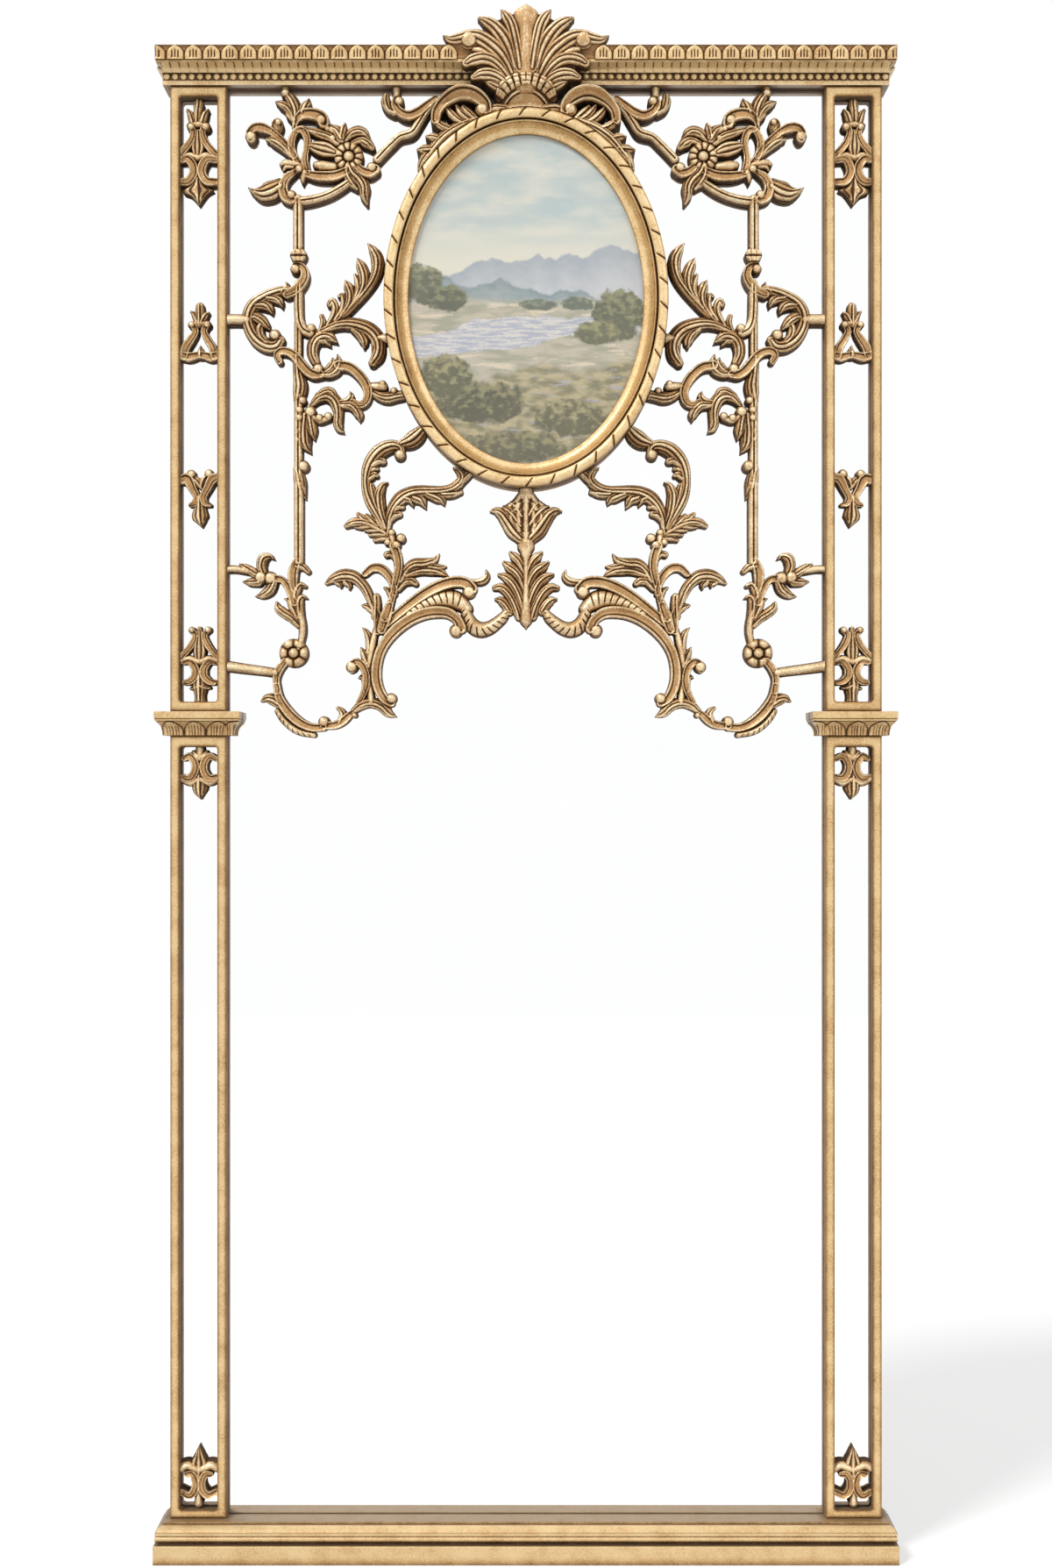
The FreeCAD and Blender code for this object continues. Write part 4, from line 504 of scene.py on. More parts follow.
trim_gilding = gilding("trim_gilding", "E6CA98", "B68C58", "40260F", 0.6, True)
moulding_gilding = gilding("moulding_gilding", "F0D6A8", "CDA56C", "5E4026", 0.7, False)
capital_gilding = gilding("capital_gilding", "E2C490", "BA9059", "4A2F18", 1.0, False)
ground_gilding = gilding("ground_gilding", "B48B55", "8A6236", "3A2412", 0.7, False)
capital_middle = 0.4184
abacus_half_width = 0.0544
abacus_proud = 0.0400
narrowing = 0.62
bell_height = 0.0170
bell_proud = 0.0240
bell_flare = 0.0120
bell_curve = 2.6
bell_half_width = 0.0445
tongue_pitch = 0.0276
corner_fold = 0.002
a_little = 0.00005
bell_levels = [(bell_proud + bell_flare * (k / 8) ** bell_curve, bell_height * k / 8) for k in range(9)]
cap_levels = [(0.0352, 0.0172), (0.0362, 0.0176), (0.0380, 0.0182), (0.0388, 0.0193), (0.0388, 0.0202),
              (0.0379, 0.0206), (0.0390, 0.0210), (0.0399, 0.0219), (0.0400, 0.0294), (0.0396, 0.0300),
              (0.0385, 0.0303)]


def lofted(name, sections, material):
    """A closed solid from level rectangles (x0, x1, y0, y1, z), the lowest first."""
    points = [point for x0, x1, y0, y1, z in sections
              for point in ((x0, y0, z), (x1, y0, z), (x1, y1, z), (x0, y1, z))]
    faces = [(3, 2, 1, 0), tuple(range(len(points) - 4, len(points)))]
    for a in range(0, len(points) - 4, 4):
        faces += [(a + i, a + (i + 1) % 4, a + (i + 1) % 4 + 4, a + i + 4) for i in range(4)]
    return piece_from(name, points, faces, material, 32)


def folded(piece, corner_x, corner_y, outward, foot, side_share):
    """A motif bent round a corner, one half on the front and the other on the return."""
    for point in piece.data.vertices:
        x, y, z = point.co
        turn = max(-1.0, min(1.0, x / corner_fold))
        point.co = (corner_x + outward * (-y * side_share * min(1.0, 1 - turn) - max(0.0, x)),
                    corner_y + y * min(1.0, 1 + turn) + max(0.0, -x), foot + z)
    if outward > 0:
        piece.data.flip_normals()
    piece.data.materials.append(trim_gilding)
    keep(piece, "gilding")


def tongue_surface(x, t, inside):
    """An arched tongue laid on the hollow bell, with a groove down its middle and two gouges beside it."""
    bell = bell_flare * t ** bell_curve
    swell = 0.0022 * max(0.0, 1 - inside ** 5) ** 0.5
    beside = sum(exp(-((x - at) / 0.07) ** 2) for at in (-0.50, -0.25, 0.30, 0.55))
    cuts = exp(-(x / 0.06) ** 2) + 0.7 * beside
    cuts *= min(1.0, 4 * max(0.0, 0.90 - t)) * (inside < 0.93)
    # The recess paints the groove, the gouges and the edge of the tongue dark, as painted shade and dust.
    return 0.0003 + bell + swell - 0.0010 * cuts, min(1.1, -0.06 + 0.95 * cuts + 1.1 * inside ** 7)


def tongue_motif(depth):
    return relief_motif("tongue", tongue_pitch * 0.99, bell_height - 0.0004, 26, 14, tongue_surface,
                        arch_outline, depth)


def capital(side, sign):
    low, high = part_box("capital_" + side)
    foot = low[2]
    middle = sign * capital_middle
    block, flank = [], []
    for proud, z in bell_levels + cap_levels:
        half = abacus_half_width - (abacus_proud - proud) * narrowing
        block.append((middle - half, middle + half, glass_y - proud, glass_y - 0.0002, foot + z))
        flank.append((*sorted((sign * 0.4545, middle + sign * half)), glass_y - 0.0010, high[1], foot + z))
    keep(lofted("capital_block_" + side, block, capital_gilding), "gilding", "capital_" + side)
    keep(lofted("capital_flank_" + side, flank, capital_gilding), "gilding")
    front_y = glass_y - bell_proud
    first = sign * 0.4220
    ends = sorted((first - tongue_pitch, first + tongue_pitch + a_little))
    front = [((ends[0], front_y, foot), (ends[1] + a_little, front_y, foot))]
    row = row_along("capital_tongues_" + side, front, tongue_motif(1.0), tongue_pitch, trim_gilding)
    for point in row.data.vertices:
        rise = (point.co.z - foot) / bell_height
        point.co.x += (point.co.x - middle) * 0.150 * rise ** bell_curve
    keep(row, "gilding")
    outer_x = middle + sign * bell_half_width
    walk = [(outer_x, front_y + tongue_pitch * 0.55, foot),
            (outer_x, front_y + tongue_pitch * 1.55 + 2 * a_little, foot)]
    row = row_along("capital_flank_tongues_" + side, [walk if sign > 0 else walk[::-1]], tongue_motif(0.62),
                    tongue_pitch, trim_gilding)
    keep(row, "gilding")
    corner = tongue_motif(1.0)
    corner.name = "capital_corner_tongue_" + side
    for point in corner.data.vertices:
        point.co.x *= 0.85
    folded(corner, middle - sign * bell_half_width, front_y, -sign, foot, narrowing)


capital("left", -1)
capital("right", 1)


# ==== cornice ====
# Three planted lengths with returns at the sides. From below: a row of beads over a fillet, a fluted cove,
# and a band of upright leaves under the crown. The leaf on each corner is cut on the mitre.
dress(moulding_gilding, "cornice_bead_strip", "cornice_fluted_cove")
dress(ground_gilding, "cornice_leaf_moulding")
leaf_proud = 0.0466
carcass_back = 0.0496


def cornice_half_width(proud):
    return 0.4705 - (0.050 - proud) * 0.29


def cornice_row(name, proud, height, motif, pitch, first, gap):
    """One row of a motif: along the front to each side of the crest, then along both returns."""
    front_y = glass_y - proud
    half = cornice_half_width(proud)
    rear = carcass_back - pitch / 2
    start = half - first
    stop = start - pitch * round((start - gap) / pitch) - a_little
    beside = front_y + pitch
    front = [((one, front_y, height), (two, front_y, height))
             for one, two in ((-start, -stop), (stop, start))]
    sides = [((x, one, height), (x, two, height))
             for x, one, two in ((-half, rear, beside), (half, beside, rear))]
    keep(row_along(name + "_front", front, motif(1.0), pitch, trim_gilding), "gilding")
    keep(row_along(name + "_returns", sides, motif(0.45), pitch, trim_gilding), "gilding")


bead_size = 0.0086
bead_pitch = 0.01060


def bead_motif(depth):
    """A pearl: the front half of a ball."""
    rings, sides = 5, 14
    points, recess = [(0.0, -bead_size / 2 * depth, 0.0)], [0.0]
    for j in range(1, rings + 1):
        turn = pi / 2 * j / rings
        for i in range(sides):
            around = 2 * pi * i / sides
            points.append((bead_size / 2 * sin(turn) * cos(around), -bead_size / 2 * cos(turn) * depth,
                           bead_size / 2 * sin(turn) * sin(around)))
            # Painted light: the face of the pearl is bright as a highlight and its edge dark as shade where
            # it meets the band.
            recess.append(1.1 * (j / rings) ** 5 - 0.1)
    faces = [(0, 1 + i, 1 + (i + 1) % sides) for i in range(sides)]
    for j in range(rings - 1):
        for i in range(sides):
            a = 1 + j * sides + i
            b = 1 + j * sides + (i + 1) % sides
            faces.append((a, a + sides, b + sides, b))
    last = 1 + (rings - 1) * sides
    faces.append(tuple(last + i for i in range(sides))[::-1])
    mesh = bpy.data.meshes.new("bead")
    mesh.from_pydata(points, [], faces)
    mark(mesh, "recess", recess)
    softly_shaded(mesh, 60)
    return link(bpy.data.objects.new("bead", mesh))


low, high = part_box("cornice_bead_strip")
cornice_row("cornice_beads", 0.0246, high[2] - 0.0046, bead_motif, bead_pitch, 0.0052, 0.0720)

flute_pitch = 0.0116


def flute_surface(x, t, inside):
    """One rib between two flutes, which swells forward with the cove that it stands on."""
    rib = 0.0014 * max(0.0, 1 - inside ** 4)
    line = max(0.0, inside - 0.80) / 0.20
    above_foot = min(1.0, max(0.0, t - 0.35) * 4)
    # The recess below zero paints the ribs bright, as painted light on the downward-facing cove; the flute
    # lines between them are painted dark as shade above the foot.
    return 0.0004 + 0.0168 * t ** 3.3 + rib, min(1.0, -0.16 + line * (0.30 + 0.75 * above_foot))


def flute_motif(depth):
    return relief_motif("rib", flute_pitch, 0.0089, 14, 8, flute_surface, lambda t: 0.99, depth)


low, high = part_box("cornice_fluted_cove")
cornice_row("cornice_flutes", 0.0268, low[2], flute_motif, flute_pitch, 0.0060, 0.0760)

leaf_pitch = 0.0231


def leaf_surface(x, t, inside):
    """An upright leaf under the crown, with three short gouge cuts from its foot."""
    swell = 0.0026 * max(0.0, 1 - inside ** 4) ** 0.5
    cuts = sum(exp(-((x - at) / 0.060) ** 2) for at in (-0.34, 0.0, 0.34))
    cuts *= min(1.0, 6 * max(0.0, 0.72 - t + 0.08 * (abs(x) < 0.15))) * (t > 0.10)
    # The recess paints the gouge cuts and the edge of the leaf dark, as painted shade and dust.
    return 0.0006 + swell * (0.75 + 0.25 * t) - 0.0014 * cuts, min(1.1, 1.2 * cuts + 1.1 * inside ** 12)


def leaf_motif(depth):
    return relief_motif("leaf", leaf_pitch, 0.0174, 26, 14, leaf_surface, arch_outline, depth)


low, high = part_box("cornice_leaf_moulding")
leaf_foot = low[2] - 0.0016
cornice_row("cornice_leaves", leaf_proud, leaf_foot, leaf_motif, leaf_pitch, 0.0249, 0.0981)
for side, sign in (("left", -1), ("right", 1)):
    corner_leaf = leaf_motif(1.0)
    corner_leaf.name = "cornice_corner_leaf_" + side
    for point in corner_leaf.data.vertices:
        point.co.x *= 1.15
    folded(corner_leaf, sign * cornice_half_width(leaf_proud), glass_y - leaf_proud, sign, leaf_foot, 0.30)


# ==== oval frame ====
# A half-round ring cut on the slant all the way round, like a ribbon wound on a stick, and inside it a
# sloping sight moulding with a thin fillet. Both are turned from segments, glued up, gessoed and gilded.
oval_middle = 1.6055
oval_half_width = 0.1815
oval_half_height = 0.2410
ribbon_width = 0.0125


def eased(value):
    held = np.clip(value, 0, 1)
    return held * held * (3 - 2 * held)


def ellipse_walk(steps):
    """Equal steps round the oval: place, outward direction and distance walked."""
    fine = np.linspace(0, 2 * pi, 40 * steps + 1)
    x = oval_half_width * np.sin(fine)
    z = oval_half_height * np.cos(fine)
    walked = np.concatenate([[0], np.cumsum(np.hypot(np.diff(x), np.diff(z)))])
    turn = np.interp(np.linspace(0, walked[-1], steps + 1)[:-1], walked, fine)
    out = np.stack([np.sin(turn) / oval_half_width, np.cos(turn) / oval_half_height], axis=1)
    out /= np.linalg.norm(out, axis=1)[:, None]
    place = np.stack([oval_half_width * np.sin(turn), oval_half_height * np.cos(turn)], axis=1)
    return place, out, np.linspace(0, walked[-1], steps + 1)[:-1], walked[-1]


def quick_mesh(name, points, quads, marks, material, sharp):
    """A mesh of four-sided faces straight from arrays, with its float attributes."""
    mesh = bpy.data.meshes.new(name)
    mesh.vertices.add(len(points))
    mesh.vertices.foreach_set("co", np.asarray(points, dtype=np.float32).ravel())
    mesh.loops.add(4 * len(quads))
    mesh.loops.foreach_set("vertex_index", np.asarray(quads, dtype=np.int32).ravel())
    mesh.polygons.add(len(quads))
    mesh.polygons.foreach_set("loop_start", np.arange(0, 4 * len(quads), 4, dtype=np.int32))
    mesh.update(calc_edges=True)
    for mark_name, values in marks.items():
        mark(mesh, mark_name, values)
    mesh.materials.append(material)
    softly_shaded(mesh, sharp)
    return link(bpy.data.objects.new(name, mesh))


def swept_ring(name, profile, steps, worked, material, sharp):
    """A closed profile of (inset, proud, recess) swept round the oval. worked() may carve it as it goes."""
    place, out, walked, whole = ellipse_walk(steps)
    inset, proud, recess = (np.array(column) for column in zip(*profile[::-1]))
    count = len(profile)
    lift, dark = worked(walked[:, None] / whole, inset[None, :], proud[None, :])
    proud_here = proud[None, :] + lift
    dark_here = np.clip(recess[None, :] + dark + 0 * proud_here, 0, 1)
    x = place[:, 0:1] - out[:, 0:1] * inset[None, :]
    z = oval_middle + place[:, 1:2] - out[:, 1:2] * inset[None, :]
    points = np.stack([x, glass_y - proud_here, z], axis=2).reshape(-1, 3)
    i = np.arange(steps)[:, None] * count
    j = np.arange(count)[None, :]
    ahead = (np.arange(1, steps + 1) % steps)[:, None] * count
    beyond = (j + 1) % count
    quads = np.stack([i + j, ahead + j, ahead + beyond, i + beyond], axis=2).reshape(-1, 4)
    # Painted shade: the walls next to the glass get the side colour.
    side = np.broadcast_to(np.where(proud[None, :] < 0.012, 0.8, 0.0), dark_here.shape)
    return quick_mesh(name, points, quads, {"recess": dark_here.ravel(), "side": side.ravel()}, material,
                      sharp)


oval_gilding = gilding("oval_gilding", "EDD2A0", "C99E62", "4A2E1A", 0.35, True, 0.4)
ribbon_turns = 42
bend_in = np.linspace(0, pi, 15)
# Rows of inset, proud, recess. The crown is left bright; the walls, the inner one most of all, are painted
# dark as the shade in the groove beside the sight.
ribbon_profile = [(0.0, 0.0, 0.6), (0.0, 0.012, 0.6), (0.0, 0.0295, 0.5)]
ribbon_profile += [(ribbon_width * (0.5 - 0.5 * cos(a)), 0.0325 + 0.0055 * sin(a) ** 0.7, 0.0)
                   for a in bend_in[1:-1]]
ribbon_profile += [(ribbon_width, 0.0280, 1.0), (ribbon_width, 0.0152, 0.9), (ribbon_width, 0.0, 0.9)]


def slanting_cuts(share, inset, proud):
    """The carver's slanting cuts: thin, painted dark as the shade in them, and run out before the inner
    edge.
    """
    across = inset / ribbon_width
    phase = (share * ribbon_turns + 0.34 * across) % 1.0
    from_cut = np.minimum(phase, 1 - phase)
    worked = np.where(proud > 0.0302, 1.0, 0.0) * eased((0.92 - across) / 0.15)
    groove = np.exp(-(from_cut / 0.042) ** 2)
    return -0.0016 * worked * groove, worked * (1.15 * groove + 0.12 * np.exp(-(from_cut / 0.09) ** 2))


ribbon = swept_ring("oval_ribbon", ribbon_profile, 1680, slanting_cuts, oval_gilding, 60)
keep(ribbon, "gilding", "oval_ribbon_frame")
# Rows of inset, proud, recess. Painted light: the walls and the foot of the fillet are dark as shade, its
# crown bright, the slope darker at its top, and a painted highlight band lies about two thirds of the way
# down the slope.
sight_profile = [(0.0128, 0.0150, 0.9), (0.0128, 0.0270, 0.9), (0.0134, 0.0276, 0.95),
                 (0.0144, 0.0292, 0.35), (0.0150, 0.0318, 0.05), (0.0158, 0.0329, 0.0),
                 (0.0168, 0.0318, 0.1), (0.0173, 0.0302, 0.6)]
for step in range(13):
    share = step / 12
    sight_profile.append((0.0178 + 0.0118 * share, 0.0296 - 0.0086 * sin(pi / 2 * share) ** 0.9,
                          0.34 * (1 - share) ** 1.2 + 0.02 - 0.22 * exp(-((share - 0.66) / 0.16) ** 2)))
sight_profile += [(0.0300, 0.0208, 0.35), (0.0304, 0.0206, 0.1), (0.0310, 0.0196, 0.2),
                  (0.0310, 0.0150, 0.8)]


def left_plain(share, inset, proud):
    return 0 * share * inset, 0 * share * inset


sight = swept_ring("oval_sight", sight_profile, 512, left_plain, oval_gilding, 40)
keep(sight, "gilding", "oval_sight_moulding")


# ==== oval picture ====
# A thin panel painted in oils with a wide landscape in pale, dusty colours: sky over blue hills, a lake
# between meadows, and trees at the sides. It lies in the rebate of the sight moulding.
flattened = 1.9
groves = ((-0.128, 0.022, 0.030, 0.026, 13.0, "565D52", "8C8F74"),
          (-0.094, 0.004, 0.026, 0.017, 15.0, "4E564C", "7F8468"),
          (0.020, -0.004, 0.026, 0.007, 21.0, "5E6A62", "85907C"),
          (0.072, -0.002, 0.022, 0.009, 27.0, "5E6A62", "8B917A"),
          (0.126, -0.018, 0.034, 0.034, 17.0, "50584C", "888A6C"),
          (0.096, -0.040, 0.030, 0.015, 19.0, "5A6050", "94936F"),
          (-0.050, -0.128, 0.058, 0.026, 23.0, "4C5044", "8A8767"),
          (-0.096, -0.094, 0.034, 0.026, 29.0, "555A4A", "9A9572"),
          (0.062, -0.148, 0.050, 0.024, 25.0, "5A5C4A", "A09A78"),
          (-0.010, -0.186, 0.070, 0.020, 31.0, "55574A", "8E8A6A"))


def landscape():
    material, tree, shader, where = finish("painted_landscape")
    spread = node(tree, "ShaderNodeMapping", Vector=where, Scale=(1.0, 0.0, flattened))
    wobble = node(tree, "ShaderNodeTexNoise", Vector=where, Scale=24.0, Detail=3.0)
    loose = node(tree, "ShaderNodeVectorMath", {"operation": "MULTIPLY_ADD"}, In_0=wobble.outputs["Color"],
                 In_1=(0.012, 0.0, 0.012), In_2=spread.outputs[0])
    dab = node(tree, "ShaderNodeTexVoronoi", Vector=loose.outputs[0], Scale=420.0, Randomness=1.0)
    spot = node(tree, "ShaderNodeSeparateXYZ", Vector=dab.outputs["Position"]).outputs
    x = spot["X"]
    z = maths(tree, "SUBTRACT", maths(tree, "DIVIDE", spot["Z"], flattened), oval_middle)
    flat = node(tree, "ShaderNodeCombineXYZ", X=x, Z=z).outputs[0]

    def streaks(scale, stretch, detail, seed):
        drawn = node(tree, "ShaderNodeMapping", Vector=flat, Location=(seed, 0, 0),
                     Scale=(1.0, 1.0, stretch))
        return noise(tree, drawn.outputs[0], scale, detail)

    def sum_of(*terms):
        """Adds up pairs of a value and its weight."""
        total = 0.0
        for value, weight in terms:
            total = maths(tree, "ADD", maths(tree, "MULTIPLY", value, weight), total)
        return total

    def laid(under, over, mask):
        """Paints one colour, or a mixed colour, over another where the mask is 1."""
        return mixed(tree, mask, under, over)

    def step(value, low, high):
        return soft_step(tree, value, low, high)

    def ridge(bumps, seed, height, tilt, slack, low, high, dark, pale, grain):
        """A line of hills, as a wash that is darkest along its top."""
        nonlocal paint
        edge = sum_of((streaks(bumps, 0.0, 3.0, seed), height), (x, tilt), (z, -1.0))
        wash = sum_of((edge, 1.0), (streaks(grain, 1.6, 4.0, seed + 1), slack))
        body = laid(tone(dark), tone(pale), step(wash, low, high + 0.05))
        paint = laid(paint, body, step(edge, low, low + 0.004))

    def clump(at_x, at_z, wide, tall, seed, dark, pale):
        """A loose clump of trees or bushes: an oval with a ragged edge, dabbed in two tones."""
        nonlocal paint
        dx = sum_of((x, 1.0 / wide), (1.0, -at_x / wide))
        dz = sum_of((z, 1.0 / tall), (1.0, -at_z / tall))
        reach = sum_of((maths(tree, "MULTIPLY", dx, dx), 1.0), (maths(tree, "MULTIPLY", dz, dz), 1.0),
                       (streaks(70.0, 1.0, 4.0, seed), 2.2))
        dabs = sum_of((streaks(110.0, 1.2, 3.0, seed + 2), 1.0), (dz, 0.12))
        paint = laid(paint, laid(tone(dark), tone(pale), step(dabs, 0.44, 0.70)), step(reach, 2.25, 1.85))

    cloud = sum_of((streaks(13.0, 3.2, 5.0, 1.0), 1.0), (z, 0.6))
    paint = laid(tone("B2C2C4"), tone("D6D6CB"), step(cloud, 0.42, 0.78))
    paint = laid(tone("DCD9CB"), paint, step(z, 0.045, 0.120))
    ridge(15.0, 4.0, 0.085, 0.10, 0.05, -0.012, 0.030, "97A3AE", "C3C6CA", 60.0)
    ridge(22.0, 9.0, 0.060, -0.12, 0.05, 0.010, 0.040, "71868F", "A9B3B5", 70.0)
    meadow = laid(tone("BDB6A6"), tone("9FA08E"), step(streaks(26.0, 4.0, 5.0, 7.0), 0.40, 0.62))
    meadow = laid(meadow, tone("D5C9B4"), step(streaks(20.0, 7.0, 4.0, 3.0), 0.55, 0.66))
    paint = laid(paint, meadow, step(sum_of((z, 1.0), (streaks(18.0, 1.0, 3.0, 12.0), 0.02)), 0.018, 0.004))
    lake_shape = sum_of((streaks(12.0, 2.0, 4.0, 5.0), 0.050), (z, -1.0), (x, 0.10))
    shine = laid(tone("A9AFBF"), tone("D2CFCB"), step(streaks(36.0, 10.0, 3.0, 6.0), 0.40, 0.60))
    paint = laid(paint, shine, maths(tree, "COMPARE", lake_shape, 0.064, 0.014))
    bank = laid(tone("77765F"), tone("B5AA8A"), step(streaks(46.0, 2.4, 5.0, 8.0), 0.36, 0.64))
    bank = laid(bank, tone("A3A6B6"), step(streaks(30.0, 8.0, 4.0, 16.0), 0.58, 0.68))
    slope = sum_of((streaks(15.0, 1.0, 4.0, 11.0), 0.07), (z, 1.0), (x, -0.10))
    paint = laid(paint, bank, step(slope, -0.052, -0.064))
    for grove in groves:
        clump(*grove)
    paint = laid(paint, tone("E2CFA6"), sum_of((noise(tree, where, 8.0, 3.0), 0.16)))
    canvas = noise(tree, where, 900.0, 2.0)
    relief = sum_of((dab.outputs["Distance"], -0.6), (canvas, 0.5))
    bump = node(tree, "ShaderNodeBump", Height=relief, Strength=0.25, Distance=0.0004)
    feed(tree, shader, Base_Color=paint, Roughness=0.55, Normal=bump.outputs[0])
    return material


dress(landscape(), "oval_picture_panel")


# ==== carved work on the glass ====
# Pierced limewood scrolls, sawn out, undercut and worked with gouges, then gessoed and gilded. Each piece is
# one stroke of the carver after another on a squared sheet: 1.12 mm to a square, "across" from the left and
# "down" from the top, with half the width of the wood at each point.
square = 1.12
middle_square = 600
floor_square = 1774.36


def on_board(across, down):
    """Squares of the sheet as millimetres from the middle and above the floor."""
    return (across - middle_square) * square, (floor_square - down) * square


def spine_of(points):
    """A smooth line through one stroke's points, in millimetres, with the distance along it."""
    across, down, half = np.array(points, dtype=float).T
    marks = np.stack([*on_board(across, down), half * square], axis=1)
    ends = np.vstack([2 * marks[0] - marks[1], marks, 2 * marks[-1] - marks[-2]])
    runs = []
    for before, here, ahead, beyond in zip(ends, ends[1:], ends[2:], ends[3:]):
        steps = max(2, int(np.hypot(*(ahead - here)[:2]) / 0.5))
        t = np.arange(steps)[:, None] / steps
        runs.append(0.5 * (2 * here + (ahead - before) * t
                           + (2 * before - 5 * here + 4 * ahead - beyond) * t ** 2
                           + (3 * here - before - 3 * ahead + beyond) * t ** 3))
    line = np.vstack(runs + [marks[-1:]])
    line[:, 2] = np.maximum(line[:, 2], 0.3)
    walked = np.concatenate([[0], np.cumsum(np.hypot(np.diff(line[:, 0]), np.diff(line[:, 1])))])
    return line, walked


def near(value, at, spread):
    """1 at a gouge line, falling off smoothly to each side."""
    return np.exp(-((value - at) / spread) ** 2)


def dome(away):
    return np.clip(1 - away ** 2, 0, 1) ** 0.72


def v_cut(across, at, half, wide=0.12):
    """A cut that keeps a real width of about a millimetre however narrow the wood is."""
    return near(across, at, np.maximum(wide, 0.85 / half))


# Each kind of gouge work gives height and darkness across a stroke: high darkness paints cuts and edges dark
# as shade and dust, darkness below zero paints a highlight. away is 0 on the spine and 1 at the edge,
# across is the same with a sign, along is in millimetres, half is half the width.
def work_plain(away, across, along, half):
    return dome(away), 0.30 * away ** 5


def work_scroll(away, across, along, half):
    """A shallow hollow with a raised fillet to each side, one of them cut in more deeply."""
    wall = np.sqrt(np.clip(1 - (np.clip(away - 0.74, 0, 1) / 0.26) ** 2, 0, 1))
    deep = v_cut(across, 0.46, half, 0.15)
    # The deeper cut and a line by the other fillet are painted dark as shade; a band near each edge is
    # painted bright as a highlight on the fillets.
    return (wall * (0.70 + 0.30 * eased(away / 0.78) ** 1.5) * (1 - 0.22 * deep),
            0.95 * deep + 0.35 * v_cut(across, -0.56, half) - 0.30 * near(away, 0.86, 0.08))


def work_dish(away, across, along, half):
    """A shell lobe: three ridges down its length with a thin line between them."""
    flute = 0.5 - 0.5 * np.cos(2 * pi * across * 1.40)
    return dome(away) ** 0.8 * (1 - 0.24 * flute), 1.0 * flute ** 5


def work_leaf(away, across, along, half):
    """Acanthus: a lobe hollowed on one side and turned up on the other, with long cuts out to its tip."""
    cuts = v_cut(across, 0.12, half) * eased((half - 1.6) / 1.6)
    cuts = cuts + v_cut(across, -0.50, half) * eased((half - 5) / 2)
    cuts = cuts + 0.8 * v_cut(across, 0.66, half) * eased((half - 6) / 2)
    hollow = near(across, 0.36, 0.26)
    # The cuts and a broad hollow beside them are painted dark as shade, the turned-up side bright as a
    # painted highlight, and the edge dark.
    return (dome(away) * (1 - 0.26 * cuts - 0.12 * hollow) * (1 - 0.16 * across),
            0.90 * cuts + 0.34 * hollow - 0.36 * near(across, -0.66, 0.24) + 0.25 * away ** 8)


def work_rail(away, across, along, half):
    """Two rounded mouldings side by side with a thin groove between them."""
    groove = v_cut(across, 0, half, 0.10)
    return dome(away) ** 0.55 * (1 - 0.30 * groove), 1.0 * groove + 0.15 * away ** 6


def work_flutes(away, across, along, half):
    """A swelling body cut with flutes along its length."""
    flute = 0.5 - 0.5 * np.cos(2 * pi * (across * np.maximum(1.5, np.round(half / 9.0) - 0.5)))
    # The flutes are painted dark as shade and the ribs between them bright as a painted highlight.
    return dome(away) * (1 - 0.28 * flute), (1.0 * flute ** 3 - 0.4 * (1 - flute) ** 3) * (away < 0.95)


def work_rope(away, across, along, half):
    """A swelling body with slanting cuts along its outer side."""
    turn = (along / 7.4 + 0.55 * across) % 1.0
    cut = near(np.minimum(turn, 1 - turn), 0, 0.11) * eased((0.35 - across) / 0.5)
    return dome(away) * (1 - 0.22 * cut), 0.85 * cut + 0.2 * away ** 8


def work_shell(away, across, along, half):
    """A shell edge: thin cuts fanned across it, run out before its lower side."""
    turn = (along / 8.2 + 0.30 * across) % 1.0
    cut = near(np.minimum(turn, 1 - turn), 0, 0.10) * eased((across + 0.70) / 0.4)
    # The cuts are painted dark as shade, the edge dark, and a broad band along the spine bright as a painted
    # highlight.
    return dome(away) ** 1.3 * (1 - 0.18 * cut), 0.9 * cut + 0.3 * away ** 8 - 0.2 * near(away, 0.2, 0.4)


def work_blocks(away, across, along, half):
    """Small blocks side by side with cuts straight across between them."""
    turn = (along / 8.8) % 1.0
    cut = near(np.minimum(turn, 1 - turn), 0, 0.13)
    body = (1 - 0.9 * away ** 6) * (1 - 0.15 * near(away, 0.35, 0.12))
    return body * (1 - 0.45 * cut), 0.95 * cut + 0.3 * away ** 6


def work_smooth(away, across, along, half):
    """A plain swelling stem, with two lines down it and its edge painted dark as shade, so its middle reads
    as a bright highlight.
    """
    lines = near(across, 0.34, 0.09) + near(across, -0.42, 0.08)
    return dome(away), 0.30 * lines + 0.6 * away ** 8


def work_facet(away, across, along, half):
    """Two flat facets that meet in an arris."""
    return 1.0 - 0.55 * away, 0.7 * near(away, 1.0, 0.16)


def work_ground(away, across, along, half):
    """The low ground that is left between raised lobes."""
    # Painted dark all over, as the shade between the lobes.
    return 0.16 + 0 * away, 0.85 + 0 * away


gouge_work = {"plain": work_plain, "scroll": work_scroll, "dish": work_dish, "leaf": work_leaf,
              "rail": work_rail, "flutes": work_flutes, "rope": work_rope, "shell": work_shell,
              "blocks": work_blocks, "smooth": work_smooth, "facet": work_facet, "ground": work_ground}


